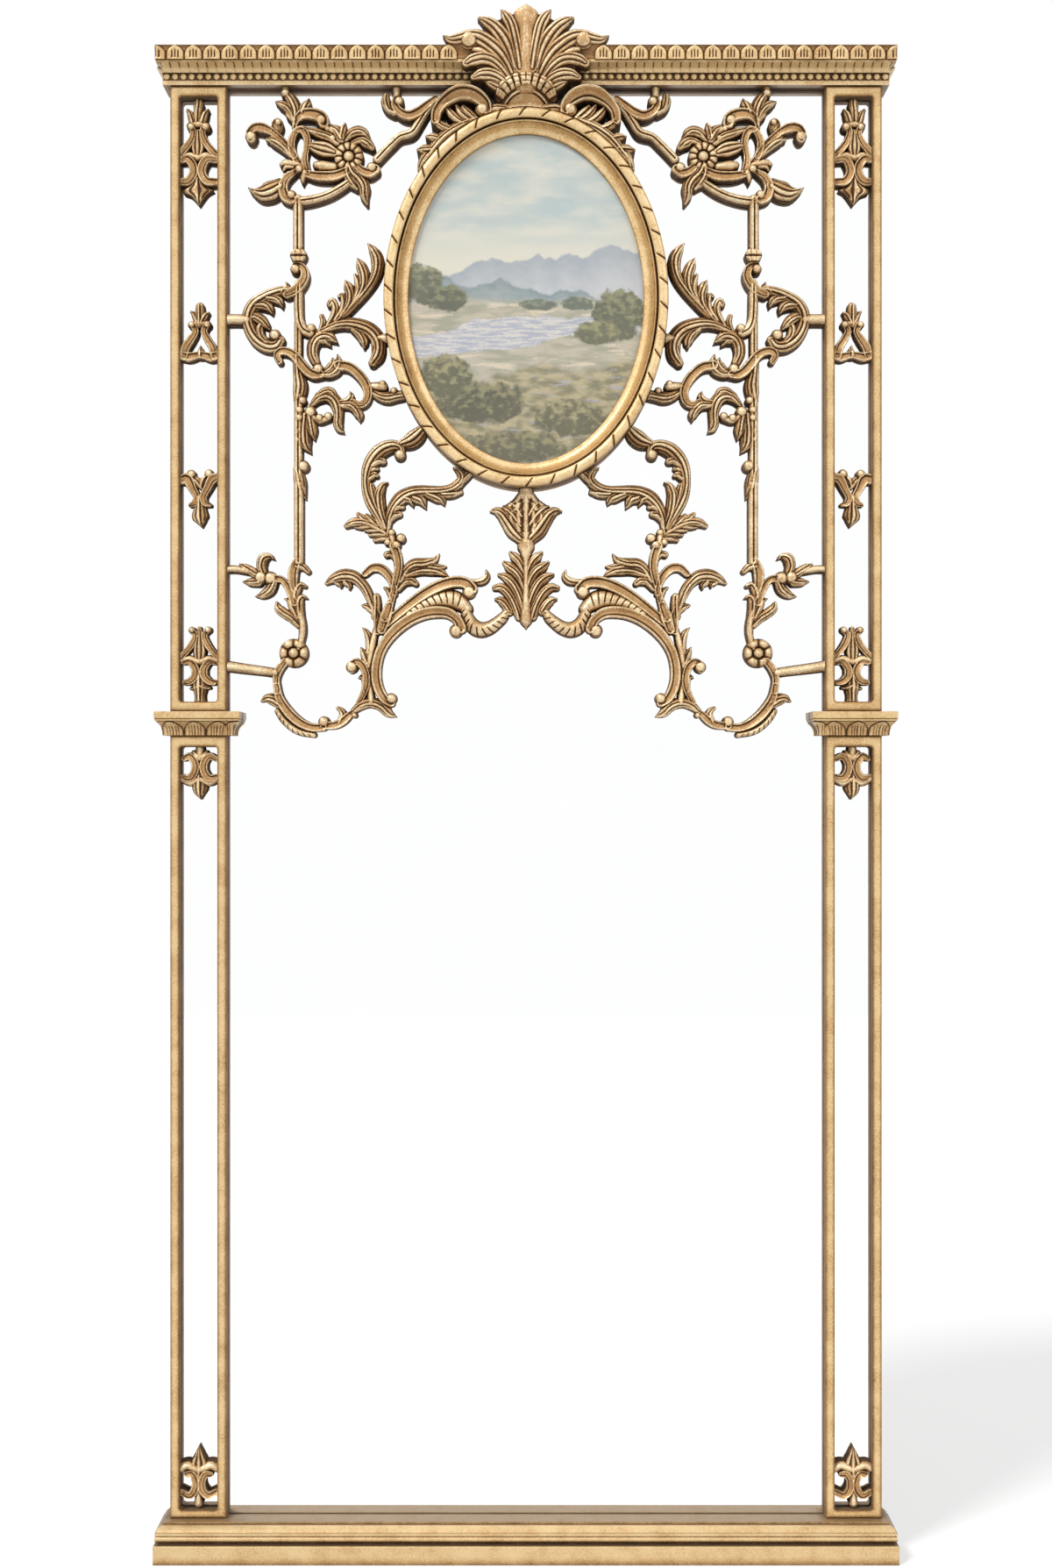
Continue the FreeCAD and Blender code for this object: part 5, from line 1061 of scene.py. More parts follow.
def boss(kind, q, turn):
    """A volute eye, a low dome, or an open flower round a button. q is 0 in the middle and 1 at the edge."""
    # The second value paints the ring round an eye, the rim of a dome and the ring and gaps of a flower
    # dark, as painted shade.
    if kind == "eye":
        ring = near(q, 0.80, 0.09)
        return 0.12 + 0.98 * np.clip(1 - q ** 2.6, 0, 1) ** 0.6 * (1 - 0.22 * ring), 0.55 * ring + 0.05
    if kind == "dome":
        rim = near(q, 0.88, 0.035)
        return np.clip(1 - q ** 2, 0, 1) ** 0.5 * 0.9 * (1 - 0.25 * rim) + 0.25 * (q > 0.9), 0.9 * rim
    petals = {"flower": 5.5, "blossom": 3.0}[kind]
    button = np.clip(1 - (q / 0.40) ** 2, 0, 1) ** 0.6
    petal = np.abs(np.cos(turn * petals)) ** 0.6
    leaf = np.clip(np.sin(pi * np.clip((q - 0.30) / 0.72, 0, 1)), 0, 1) ** 0.6 * (0.45 + 0.55 * petal)
    ring = near(q, 0.41, 0.06)
    return (np.maximum(1.12 * button, 0.86 * leaf) * (1 - 0.3 * ring) + 0.05,
            0.8 * ring + 0.75 * (1 - petal) * (q > 0.42))


def blank_sheet(left, right, low, high, cell):
    """An uncut board: its grid in millimetres, height of the work, painted shade and dirt, and distance
    inside the outline.
    """
    x = np.arange(left, right + cell, cell)
    z = np.arange(low, high + cell, cell)
    size = (len(z), len(x))
    return {"x": x, "z": z, "cell": cell, "lift": np.zeros(size), "shade_and_dirt": np.full(size, 0.4), "pieces": {}}


def laid_in(sheet, outline, centre_x, centre_z, reach_x, reach_z, cut):
    """Works one stroke or boss into the part of the board that it touches."""
    i0, i1 = np.searchsorted(sheet["x"], (centre_x - reach_x, centre_x + reach_x))
    j0, j1 = np.searchsorted(sheet["z"], (centre_z - reach_z, centre_z + reach_z))
    x, z = np.meshgrid(sheet["x"][i0:i1], sheet["z"][j0:j1])
    edge, lift, shade_and_dirt = cut(x.ravel(), z.ravel())
    part = (slice(j0, j1), slice(i0, i1))
    outline[part] = np.minimum(outline[part], edge.reshape(x.shape))
    lift = np.where(edge < 1.5, lift, 0).reshape(x.shape)
    higher = lift > sheet["lift"][part]
    sheet["lift"][part] = np.where(higher, lift, sheet["lift"][part])
    sheet["shade_and_dirt"][part] = np.where(higher, shade_and_dirt.reshape(x.shape), sheet["shade_and_dirt"][part])


def work_stroke(sheet, outline, kind, points, tallest):
    line, walked = spine_of(points)
    ahead = np.gradient(line[:, :2], axis=0)
    low = line.min(axis=0)
    high = line.max(axis=0)
    margin = high[2] + 2

    def cut(x, z):
        gap = np.hypot(x[:, None] - line[None, :, 0], z[:, None] - line[None, :, 1])
        k = gap.argmin(axis=1)
        close = gap[np.arange(len(x)), k]
        edge = close - line[k, 2]
        away = close / line[k, 2]
        side = np.sign(ahead[k, 0] * (z - line[k, 1]) - ahead[k, 1] * (x - line[k, 0]))
        away = np.clip(away, 0, 1)
        lift, shade_and_dirt = gouge_work[kind](away, away * side, walked[k], line[k, 2])
        return edge, lift * np.minimum(tallest, 1.8 + 1.25 * line[k, 2]), shade_and_dirt

    laid_in(sheet, outline, (low[0] + high[0]) / 2, (low[1] + high[1]) / 2,
            (high[0] - low[0]) / 2 + margin, (high[1] - low[1]) / 2 + margin, cut)


def work_boss(sheet, outline, kind, across, down, radius, tallest):
    centre_x, centre_z = on_board(across, down)
    size = radius * square

    def cut(x, z):
        gap = np.hypot(x - centre_x, z - centre_z)
        lift, shade_and_dirt = boss(kind, gap / size, np.arctan2(z - centre_z, x - centre_x))
        return gap - size, lift * min(tallest, 3.5 + 1.2 * size), shade_and_dirt

    laid_in(sheet, outline, centre_x, centre_z, size + 2, size + 2, cut)


def work_piece(sheet, name, work, tallest=10.5, change=lambda points: points):
    """Every stroke and boss of one piece. Its outline is kept apart from its neighbours'."""
    outline = sheet["pieces"].setdefault(name, np.full(sheet["lift"].shape, 9.0))
    for kind, strokes in work.items():
        for points in strokes:
            if kind in gouge_work:
                work_stroke(sheet, outline, kind, change(points), tallest)
            else:
                work_boss(sheet, outline, kind, *change([points])[0], tallest)


def softened(values, mask, reach):
    """The mean of the kept places within a square."""
    def box(field):
        for axis in (0, 1):
            padded = np.concatenate([np.repeat(field.take([0], axis), reach + 1, axis), field,
                                     np.repeat(field.take([-1], axis), reach, axis)], axis)
            total = padded.cumsum(axis)
            high = total.take(range(2 * reach + 1, total.shape[axis]), axis)
            field = (high - total.take(range(0, total.shape[axis] - 2 * reach - 1), axis)) / (2 * reach + 1)
        return field
    return box(values * mask) / np.maximum(box(mask.astype(float)), 0.02)


def outside_oval(x, z):
    """How far a place lies inside the outer line of the oval frame, in millimetres."""
    rise = z - oval_middle * 1000
    wide, tall = oval_half_width * 1000, oval_half_height * 1000
    ring = np.hypot(x / wide, rise / tall)
    slope = np.hypot(x / wide ** 2, rise / tall ** 2) / np.maximum(ring, 0.01)
    return (1 - ring) / np.maximum(slope, 1e-6) + 0.3


def level_at(height):
    return lambda z: height + 0 * z


def middle_of(field):
    """The value in the middle of each cell of the board."""
    return (field[:-1, :-1] + field[1:, :-1] + field[1:, 1:] + field[:-1, 1:]) / 4


def cells_kept(whole):
    """The cells inside the saw line. Two cells that would only meet at a corner are joined."""
    kept = middle_of(whole) < 0
    for _ in range(2):
        crossing = kept[:-1, :-1] & kept[1:, 1:] & ~kept[1:, :-1] & ~kept[:-1, 1:]
        kept[1:, :-1] |= crossing
        crossing = ~kept[:-1, :-1] & ~kept[1:, 1:] & kept[1:, :-1] & kept[:-1, 1:]
        kept[:-1, :-1] |= crossing
    return kept


def rim_of(kept):
    """The corners of cells that lie on the sawn edge."""
    around = np.pad(kept, 1)
    full = around[:-1, :-1] & around[1:, :-1] & around[1:, 1:] & around[:-1, 1:]
    some = around[:-1, :-1] | around[1:, :-1] | around[1:, 1:] | around[:-1, 1:]
    return some & ~full


def closed_quads(mine, total):
    """Front, back and walls round some cells. The corners of the back count on from the front's total."""
    corner = np.arange(total).reshape(mine.shape[0] + 1, mine.shape[1] + 1)
    a, b, c, d = (corner[:-1, :-1], corner[:-1, 1:], corner[1:, 1:], corner[1:, :-1])
    apart = np.pad(~mine, 1, constant_values=True)
    quads = [np.stack([a, b, c, d], 2)[mine], np.stack([a, d, c, b], 2)[mine] + total]
    for one, two, clear in ((a, b, apart[:-2, 1:-1]), (b, c, apart[1:-1, 2:]),
                            (c, d, apart[2:, 1:-1]), (d, a, apart[1:-1, :-2])):
        first, second = one[mine & clear], two[mine & clear]
        quads.append(np.stack([first + total, second + total, second, first], 1))
    return np.concatenate(quads)


def free_work(sheet, base, floor, limits, sides):
    """Frees the pieces from the board: worked front, plain back and walls between, for each side asked."""
    x, z = np.meshgrid(sheet["x"], sheet["z"])
    cell = sheet["cell"]
    whole = np.minimum.reduce(list(sheet["pieces"].values()))
    whole = np.maximum.reduce([whole] + [limit(x, z) for limit in limits])
    kept = cells_kept(whole)
    owned = np.full(kept.shape, -1)
    for number, outline in enumerate(sheet["pieces"].values()):
        owned[(owned < 0) & kept & (middle_of(outline) < 0.35 * cell)] = number
    rim = rim_of(kept)
    slope_z, slope_x = np.gradient(whole, cell)
    steep = np.maximum(slope_x ** 2 + slope_z ** 2, 0.25)
    shift = np.where(rim, np.clip(-whole, -0.75 * cell, 0.75 * cell), 0)
    x = x + shift * slope_x / steep
    z = z + shift * slope_z / steep
    lift = np.where(rim, np.minimum(sheet["lift"], 0.8), sheet["lift"])
    inside = whole < 0.5
    # Painted shade: places lower than the work round them are darkened, and so is work lying near its
    # ground; the sawn rim is painted dark.
    hollow = 0.34 * (softened(lift, inside, 2) - lift) + 0.12 * (softened(lift, inside, 6) - lift)
    recess = np.clip(0.22 + hollow + 0.62 * sheet["shade_and_dirt"] + 0.035 * np.clip(5.0 - lift, 0, 5), 0, 1)
    recess = np.where(rim, 0.80, recess)
    front = glass_y * 1000 - (base(z) + lift)
    back = glass_y * 1000 - floor(z)
    for number, name in enumerate(sheet["pieces"]):
        quads = closed_quads(owned == number, x.size)
        used, packed = np.unique(quads, return_inverse=True)
        packed = packed.reshape(quads.shape)
        on_back = used >= x.size
        at = used % x.size
        places = np.stack([x.ravel()[at], np.where(on_back, back.ravel()[at], front.ravel()[at]),
                           z.ravel()[at]], axis=1) / 1000
        # Painted shade: the back is dark and given a half side colour, and the sawn rim a little of it.
        marks = {"recess": np.where(on_back, 0.85, recess.ravel()[at]),
                 "side": np.where(on_back, 0.5, np.where(rim.ravel()[at], 0.1, 0.0))}
        for side, sign in sides:
            turned = packed if sign > 0 else packed[:, ::-1]
            piece = quick_mesh(name + side, places * (sign, 1, 1), turned, marks, carved_gilding, 42)
            keep(piece, "gilding", name + side)


carving_base = level_at(9.5)
strip_base = level_at(6.0)
on_glass = level_at(0)
both_sides = (("_left", 1), ("_right", -1))
carved_gilding = gilding("carved_gilding", "F4DFB6", "B98F5C", "44290F", 0.5, True)

corner_spray_work = {
    "plain": [
        [(325, 95, 4.5), (325, 99, 4.5), (325, 104, 5)],
        [(325, 126, 1), (328, 130, 3), (332, 135, 3), (336, 141, 2)],
        [(321, 186, 3), (325, 184.5, 4.5), (332, 185, 4.5), (340, 187, 4.5), (347, 191, 3.5)],
        [(323, 193, 1.5), (326, 189, 3), (334, 189, 3)],
        [(345, 209, 0.4), (345, 203, 3.5), (347, 196, 5)],
        [(361, 187, 5), (368, 188, 6.5), (380, 189, 5)],
        [(369, 144, 4), (376, 147, 4.5), (384, 151, 4)],
    ],
    "scroll": [
        [(335, 147, 2.5), (337, 138, 3.5), (343, 131, 6), (351, 129, 7), (360, 130, 7.5), (367, 134, 7.5),
         (369, 140, 6.5)],
        [(286, 157, 5.5), (284.5, 150.5, 5), (290, 145, 5.5), (299, 145, 6), (307, 148, 5), (314, 153, 4.5),
         (322, 160, 4.5), (329, 168, 4.5), (335, 177, 4.5)],
        [(312, 148, 3.5), (313, 140, 4), (317, 137.5, 4), (319.5, 142, 3.5), (317, 151, 3)],
        [(344, 145, 3.5), (337, 149, 4), (332.5, 158, 4.5), (332.5, 169, 4.5), (337, 180, 4.5),
         (344, 189, 4), (350, 197, 3)],
        [(339, 146.5, 3.5), (346, 149, 4.5), (350, 158, 4.5), (349.5, 167, 4), (347.5, 176, 4),
         (347.5, 184, 4.5), (350, 194, 4.5)],
        [(336, 195, 3.5), (328, 200.5, 5), (323.5, 207.5, 5.5), (322.5, 215.5, 6), (325.5, 223.5, 6.5),
         (332, 227, 6)],
        [(348, 197, 4), (358, 199.5, 5.5), (370, 200.5, 6), (383, 199.5, 6), (396, 194, 5)],
        [(404, 181, 3), (407, 188, 4.5), (413, 194, 5.5), (421, 196.5, 6), (428, 192.5, 6)],
    ],
    "leaf": [
        [(327, 106, 4), (333, 114, 6), (337, 124, 6), (337, 133, 4.5), (335, 144, 2.5)],
        [(315, 115, 1.5), (320, 117, 4), (327, 121, 5), (333, 129, 4.5), (336, 139, 3)],
        [(352, 110.5, 0.4), (351, 115, 3.5), (348, 121, 6), (345, 127, 5)],
        [(305, 157.5, 2.5), (310, 158, 5), (317, 161, 6), (325, 168, 5), (332, 177, 3)],
        [(282.5, 212.5, 0.4), (289, 217, 3.5), (299, 219, 8.5), (309, 216, 10), (318, 211, 8)],
        [(348, 146, 2.5), (356, 148, 4), (365, 151, 5), (374, 154, 5), (384, 161, 4)],
        [(378, 144, 3.5), (384, 148, 5.5), (389, 156, 6)],
        [(393, 140, 1.5), (391, 146, 4), (389, 155, 5)],
        [(394, 158, 3), (400, 151, 5), (408, 148, 5.5), (415, 150, 4.5), (420, 155, 2)],
        [(402, 162, 3), (410, 159, 4), (417, 161, 6), (424, 167, 3.5)],
        [(398, 186, 3.5), (402, 195, 6), (410, 203, 6.5), (415, 212, 6), (415.5, 222, 4.5),
         (418.5, 231.5, 1.5)],
        [(396, 188, 3), (396.5, 197, 5), (401, 206, 5.5), (407, 213, 3)],
    ],
    "flutes": [
        [(352, 165, 3.5), (357, 166, 7), (365, 168, 9.5), (373, 170, 9.5), (381, 173, 6)],
    ],
    "eye": [(325, 105, 5.5), (366, 136, 7), (286, 154.5, 7), (317, 138.5, 4.5), (341, 192, 5.5),
            (332, 221.5, 6), (373, 146, 4), (379, 157, 4.5), (424, 190, 6.5)],
}
corner_rail_work = {
    "rail": [
        [(402, 203.5, 4.5), (390, 212, 5), (380, 218, 5.2), (370, 222.5, 5.2), (358, 226, 5.4),
         (346, 228, 5.6), (337, 228.5, 5)],
        [(339.3, 226, 5.7), (339.3, 256, 5.7), (339.3, 286, 5.7)],
    ],
    "blocks": [
        [(340, 283, 6), (340, 287.5, 9.5), (340, 292, 9.5), (340, 297, 6.5), (340, 299, 5.5)],
    ],
}
shoulder_scroll_work = {
    "plain": [
        [(452, 95, 5), (452, 101, 5), (452, 107, 5)],
    ],
    "leaf": [
        [(440, 108, 3.5), (440, 115, 5), (443, 123, 4), (450, 127, 4)],
    ],
    "scroll": [
        [(452, 108, 3.5), (450, 118, 4.5), (456, 127, 5.5), (466, 131, 6), (477, 127, 6), (487, 119, 5),
         (497, 111, 4)],
    ],
    "rail": [
        [(492, 119, 4), (485, 128, 5), (478, 139, 5.5), (470, 150, 5.8), (456, 155, 5.2), (447, 163, 5.4),
         (438, 172, 5.5), (430, 180.5, 5.5)],
    ],
    "eye": [(455, 114.5, 6)],
}
side_scroll_work = {
    "plain": [
        [(258.6, 363.5, 6.8), (268, 363.5, 6.6), (281, 364, 6.6)],
    ],
    "scroll": [
        [(336, 301.5, 3.5), (343, 303, 4.5), (347, 308.5, 5), (347, 316, 5.5), (342.5, 324, 6),
         (335.5, 331, 6), (327, 335, 5)],
        [(318.5, 411, 4), (315.5, 404.5, 4.5), (320, 400, 5), (328, 400.5, 5.2), (336, 405.5, 5.8),
         (343, 414, 6.3), (350, 422, 6.3), (357, 426.5, 6), (365, 426.5, 5)],
    ],
    "leaf": [
        [(327, 330, 5), (316, 332.5, 6), (303, 337.5, 6.5), (291, 345, 7), (284.5, 355, 7), (283, 366, 6.5),
         (286.5, 377, 7), (293, 386, 7.5), (303, 392.5, 7.5), (313, 393, 7), (319, 387, 5)],
        [(326, 320.5, 0.5), (327, 326, 3.5), (322, 332, 5)],
        [(305, 338, 5), (313, 339, 5), (319, 343, 4), (321.5, 350, 0.4)],
        [(292, 346, 5), (301, 346, 6), (307, 350.5, 4.5), (310, 357.5, 0.4)],
        [(284, 360, 3), (290, 360, 5), (297, 363.5, 5.5), (303, 369.5, 4), (307.5, 375.5, 0.5)],
        [(301, 366, 2.5), (296, 373, 4), (297, 382, 4.5), (303, 389, 4)],
    ],
    "rail": [
        [(340, 322, 5), (340, 340, 5.5), (340.3, 356, 5.5), (341.5, 366, 5.8), (345.5, 374.5, 6),
         (353, 379, 5.5)],
        [(339.5, 366, 4.6), (339.5, 385, 4.6), (339.5, 404, 4.6)],
    ],
    "eye": [(336.5, 306, 6), (313, 381.5, 7), (354.5, 373.5, 5.5), (362.5, 420, 6.5)],
}
feather_leaf_work = {
    "leaf": [
        [(419, 276, 0.4), (425, 284, 4.5), (430, 294, 6.5), (430, 306, 6), (426, 318, 5), (418, 330, 4.5),
         (408, 342, 4), (396, 355, 3.5), (384, 366, 3), (371, 378, 2.5)],
        [(407, 293, 0.4), (411, 301, 5), (415, 312, 6), (415, 325, 5.5), (409, 338, 4.5), (399, 351, 4)],
        [(404.5, 312, 1.5), (408, 320, 4), (409, 330, 4.5), (404, 343, 4)],
        [(393, 318, 0.4), (397, 326, 5), (400, 336, 5.5), (398, 347, 5), (390, 359, 4)],
        [(386, 337, 1.5), (390, 336, 3), (392, 344, 3.5), (390, 354, 4), (383, 364, 3.5)],
        [(376, 346, 3.5), (379, 343, 4), (382, 350, 4), (380.5, 359, 4), (374, 370, 3)],
        [(366.5, 359.5, 2.5), (368, 365, 3), (367, 371, 3), (364, 378, 2.5)],
        [(361, 379, 3), (372, 374, 4), (384, 369.5, 5), (396, 368, 6), (409, 370, 7), (421, 375, 7.5),
         (429.5, 384, 7.5), (432.5, 395, 6.5), (430.5, 405, 6.5), (425, 413, 4.5)],
        [(403, 374, 4), (411, 381, 5), (415, 389, 4.5), (415, 395, 1.5)],
        [(424, 381, 3), (426, 390, 3), (424.5, 400, 1)],
        [(359.5, 412, 4.5), (356, 403.5, 5.5), (356.5, 393, 6), (361.5, 385, 6.5), (369.5, 382, 6),
         (377, 384, 5), (385, 390, 0.5)],
        [(364, 387, 4), (371, 387.5, 4.5), (377, 394, 0.5)],
    ],
    "plain": [
        [(432, 385, 5), (438, 385, 6), (444, 386, 6)],
    ],
}
flower_drop_work = {
    "leaf": [
        [(367, 426, 4), (376, 425.5, 4.5), (383.5, 420, 5.5), (386, 411.5, 4), (384.5, 403, 0.5)],
        [(371, 422, 3), (376, 418, 4), (379.5, 412.5, 3.5), (379, 407.5, 1)],
        [(399, 445.5, 0.5), (400, 451, 3.5), (396, 456, 3.5), (387, 457.5, 2.5)],
        [(389, 461, 4), (399, 461, 5), (405.5, 466, 5), (409.5, 473, 4.5), (410, 479.5, 0.8)],
        [(424, 446, 3.5), (433, 451, 5), (442, 452.5, 6), (451, 451, 5.5), (462, 449, 5)],
        [(355, 461, 2.5), (362, 454, 4.5), (371, 450.5, 6), (379, 453.5, 6.5), (384, 461.5, 6.5),
         (385.5, 472, 5), (385, 482, 5), (387, 488, 4), (392, 492.5, 0.5)],
        [(362, 450, 3), (371, 445.5, 4.5), (378, 446, 4), (382, 452, 3)],
        [(353, 473, 4), (354.5, 482, 5), (356, 491, 5), (358, 501, 0.6)],
        [(348, 473, 4), (347, 486, 5.5), (347, 498, 6.5), (348.5, 507, 5.5), (354, 516, 0.6)],
        [(345, 479, 3), (341, 490, 3.5), (338.5, 501, 3)],
        [(338.5, 406, 4.5), (340, 425, 5.5), (342, 438, 7), (341, 448, 6.5), (339.5, 455, 4.6)],
        [(338.5, 534, 4), (341, 545, 6), (343, 556, 5.5), (348, 568.5, 0.6)],
    ],
    "scroll": [
        [(386, 416, 6), (398, 418, 6), (408, 425.5, 6), (416, 436, 6), (419.5, 447, 5.5), (417, 457, 5),
         (409.5, 461, 4.5), (402, 457, 3.5)],
    ],
    "plain": [
        [(422, 439.5, 4.5), (430, 440, 5.5), (437, 440, 5.5)],
        [(356, 474, 4), (364, 479, 4), (374, 476, 4)],
    ],
    "rail": [
        [(339.8, 450, 5), (339.8, 500, 5), (339.8, 555, 5)],
        [(340.2, 552, 5.7), (340.2, 600, 5.7), (340.2, 640, 5.7)],
    ],
    "eye": [(436, 437, 4.5), (449, 445, 4.5), (353.5, 469, 7), (344.5, 456, 5), (341, 467, 5),
            (341, 476, 5), (364, 476, 5), (374, 474, 5), (338.5, 501, 3.4), (345.5, 531, 7)],
}
lower_drop_work = {
    "leaf": [
        [(347, 668, 2.2), (342.5, 666.5, 3), (338.5, 671.5, 4), (336.5, 680, 4)],
        [(312, 637.5, 0.6), (307, 634, 3), (300, 636.5, 5.5), (297.5, 645, 5), (300, 654, 4.5)],
        [(291, 680, 0.6), (299, 678, 4), (307, 672, 5.5), (312, 662, 4.5)],
        [(273, 643, 1), (280, 647, 4), (291, 654, 5)],
        [(277, 663, 1), (284, 663.5, 4), (294, 663, 5)],
        [(350, 682, 0.6), (345, 680.5, 3), (341, 685, 4.5), (341, 694, 4.5), (342, 704, 4.5)],
        [(324, 682.5, 0.6), (330, 685, 3.5), (334, 693, 4.5), (339, 703, 4)],
        [(315, 687, 1.5), (317.5, 693.5, 4.5), (324, 699, 5), (332, 704, 5), (340, 712, 4)],
        [(297, 800, 0.6), (303, 796.5, 4), (311, 797.5, 6), (319, 803, 5)],
        [(385, 807.5, 2), (388.5, 810, 3), (391, 815.5, 4), (388, 823, 4)],
        [(338, 645, 5), (345, 646, 4), (350.5, 651, 3)],
    ],
    "scroll": [
        [(338, 640, 5), (334, 652, 6.5), (334, 664, 5.5), (336, 677, 3.5)],
        [(315, 782, 4), (318, 795, 5), (324, 806, 5.8), (333.5, 817, 6), (345, 825.5, 5.5),
         (356.5, 829.5, 5), (368, 829, 5)],
        [(369, 827.5, 4.5), (382, 826.5, 5), (391, 822, 5), (397, 816.5, 4.5), (402, 812, 3)],
        [(311, 659, 5), (320.5, 660.5, 4.2), (326.5, 667, 4.5), (331, 676, 4.5), (335, 687, 5)],
        [(325, 754, 4.5), (317.5, 764, 5), (314.5, 775, 4.2), (316, 788, 4.6)],
    ],
    "plain": [
        [(258.6, 648.5, 4.4), (268, 648.5, 4.4), (283, 651, 4.4)],
        [(258.6, 759.5, 6.5), (280, 762.5, 6), (300, 765, 5.6), (313, 767, 5.5)],
        [(341, 698, 4.5), (343.7, 709, 4.7), (344.5, 720, 4.5), (343, 730, 4), (340, 739, 4)],
    ],
    "rope": [
        [(316, 811, 3.5), (322, 820, 4), (331, 829, 4), (342, 835, 4), (357, 838, 3.5)],
    ],
    "eye": [(297, 658, 8), (308, 659, 8), (369, 823, 6.5)],
}
arabesque_work = {
    "leaf": [
        [(484, 487, 5), (476, 496, 8), (468, 502, 8), (458, 506, 5)],
        [(457.5, 517, 4.5), (455, 509.8, 5), (447, 508, 6.5), (436, 512, 7.5), (426.5, 521, 7.5),
         (420, 533, 6.5), (417.5, 547, 5), (419, 561, 5.5), (424, 574, 6), (431, 587, 5), (439, 601, 3.5)],
        [(424, 529, 4), (431, 524.5, 4.5), (436, 525, 4)],
        [(421, 536, 3), (426, 533, 3.5), (429.5, 533.5, 2.5)],
        [(420, 545, 3.5), (426, 541, 4), (429.5, 541.5, 2.5)],
        [(442, 549.5, 0.5), (436.5, 553, 3.5), (432.5, 562, 5.5), (432.5, 573, 6), (435, 586, 5.5),
         (440, 600, 4)],
        [(423.5, 553, 3), (425, 561, 4), (428, 573, 4.5), (434, 587, 4)],
        [(441, 606, 3.5), (443, 591, 4.5), (448, 578, 5.5), (457, 567.5, 7), (468, 561.5, 6.5),
         (480, 559.5, 6), (493, 559.5, 5.5), (505, 559, 5), (515, 556.5, 5), (523.5, 550.5, 5),
         (526.5, 543, 4.2), (522.5, 536.5, 3), (517, 532.5, 0.8)],
        [(526, 549, 4), (532, 542, 4.5), (538, 537, 3.5)],
        [(444, 593, 3.5), (449, 587, 4.5), (455, 585.5, 3.5)],
        [(448, 581, 3.5), (453.5, 576.5, 4.5), (458.5, 577, 3)],
        [(461, 566, 5), (468, 569, 5), (471, 577, 0.8)],
        [(473, 566, 6), (480, 569, 6), (485.5, 579, 0.8)],
        [(488, 562, 5), (498, 565.5, 6), (504, 569.5, 4.5), (506.5, 575, 0.8)],
        [(505, 562, 5), (516, 561.5, 5), (525, 560, 3)],
        [(394.5, 599, 2.5), (401.5, 595.5, 4.5), (411.5, 594.5, 5), (422, 597, 4.5), (432, 602, 4),
         (442, 608, 3)],
        [(408, 585.5, 2), (414, 590.5, 3.5), (422, 596, 3)],
        [(418, 587, 2), (424, 592.5, 3.5), (431, 600, 3)],
        [(427.5, 588, 2), (432, 594.5, 3.5), (438, 604, 3)],
        [(405, 600.5, 1.5), (411, 600, 3), (421, 599.5, 3)],
        [(416, 604, 1.5), (422, 603.5, 3.5), (432, 604, 3)],
        [(421.5, 609, 2), (428, 608, 3.5), (438, 608.5, 3)],
        [(427.5, 615, 2.5), (434, 613, 4), (442, 613, 4)],
    ],
    "plain": [
        [(445, 606, 4), (447, 614, 5), (448.5, 623, 5)],
    ],
    "eye": [(456, 518, 6.8), (446.5, 607, 4.5), (457, 613.5, 6), (442, 618, 4.5), (452, 621, 5.5)],
}
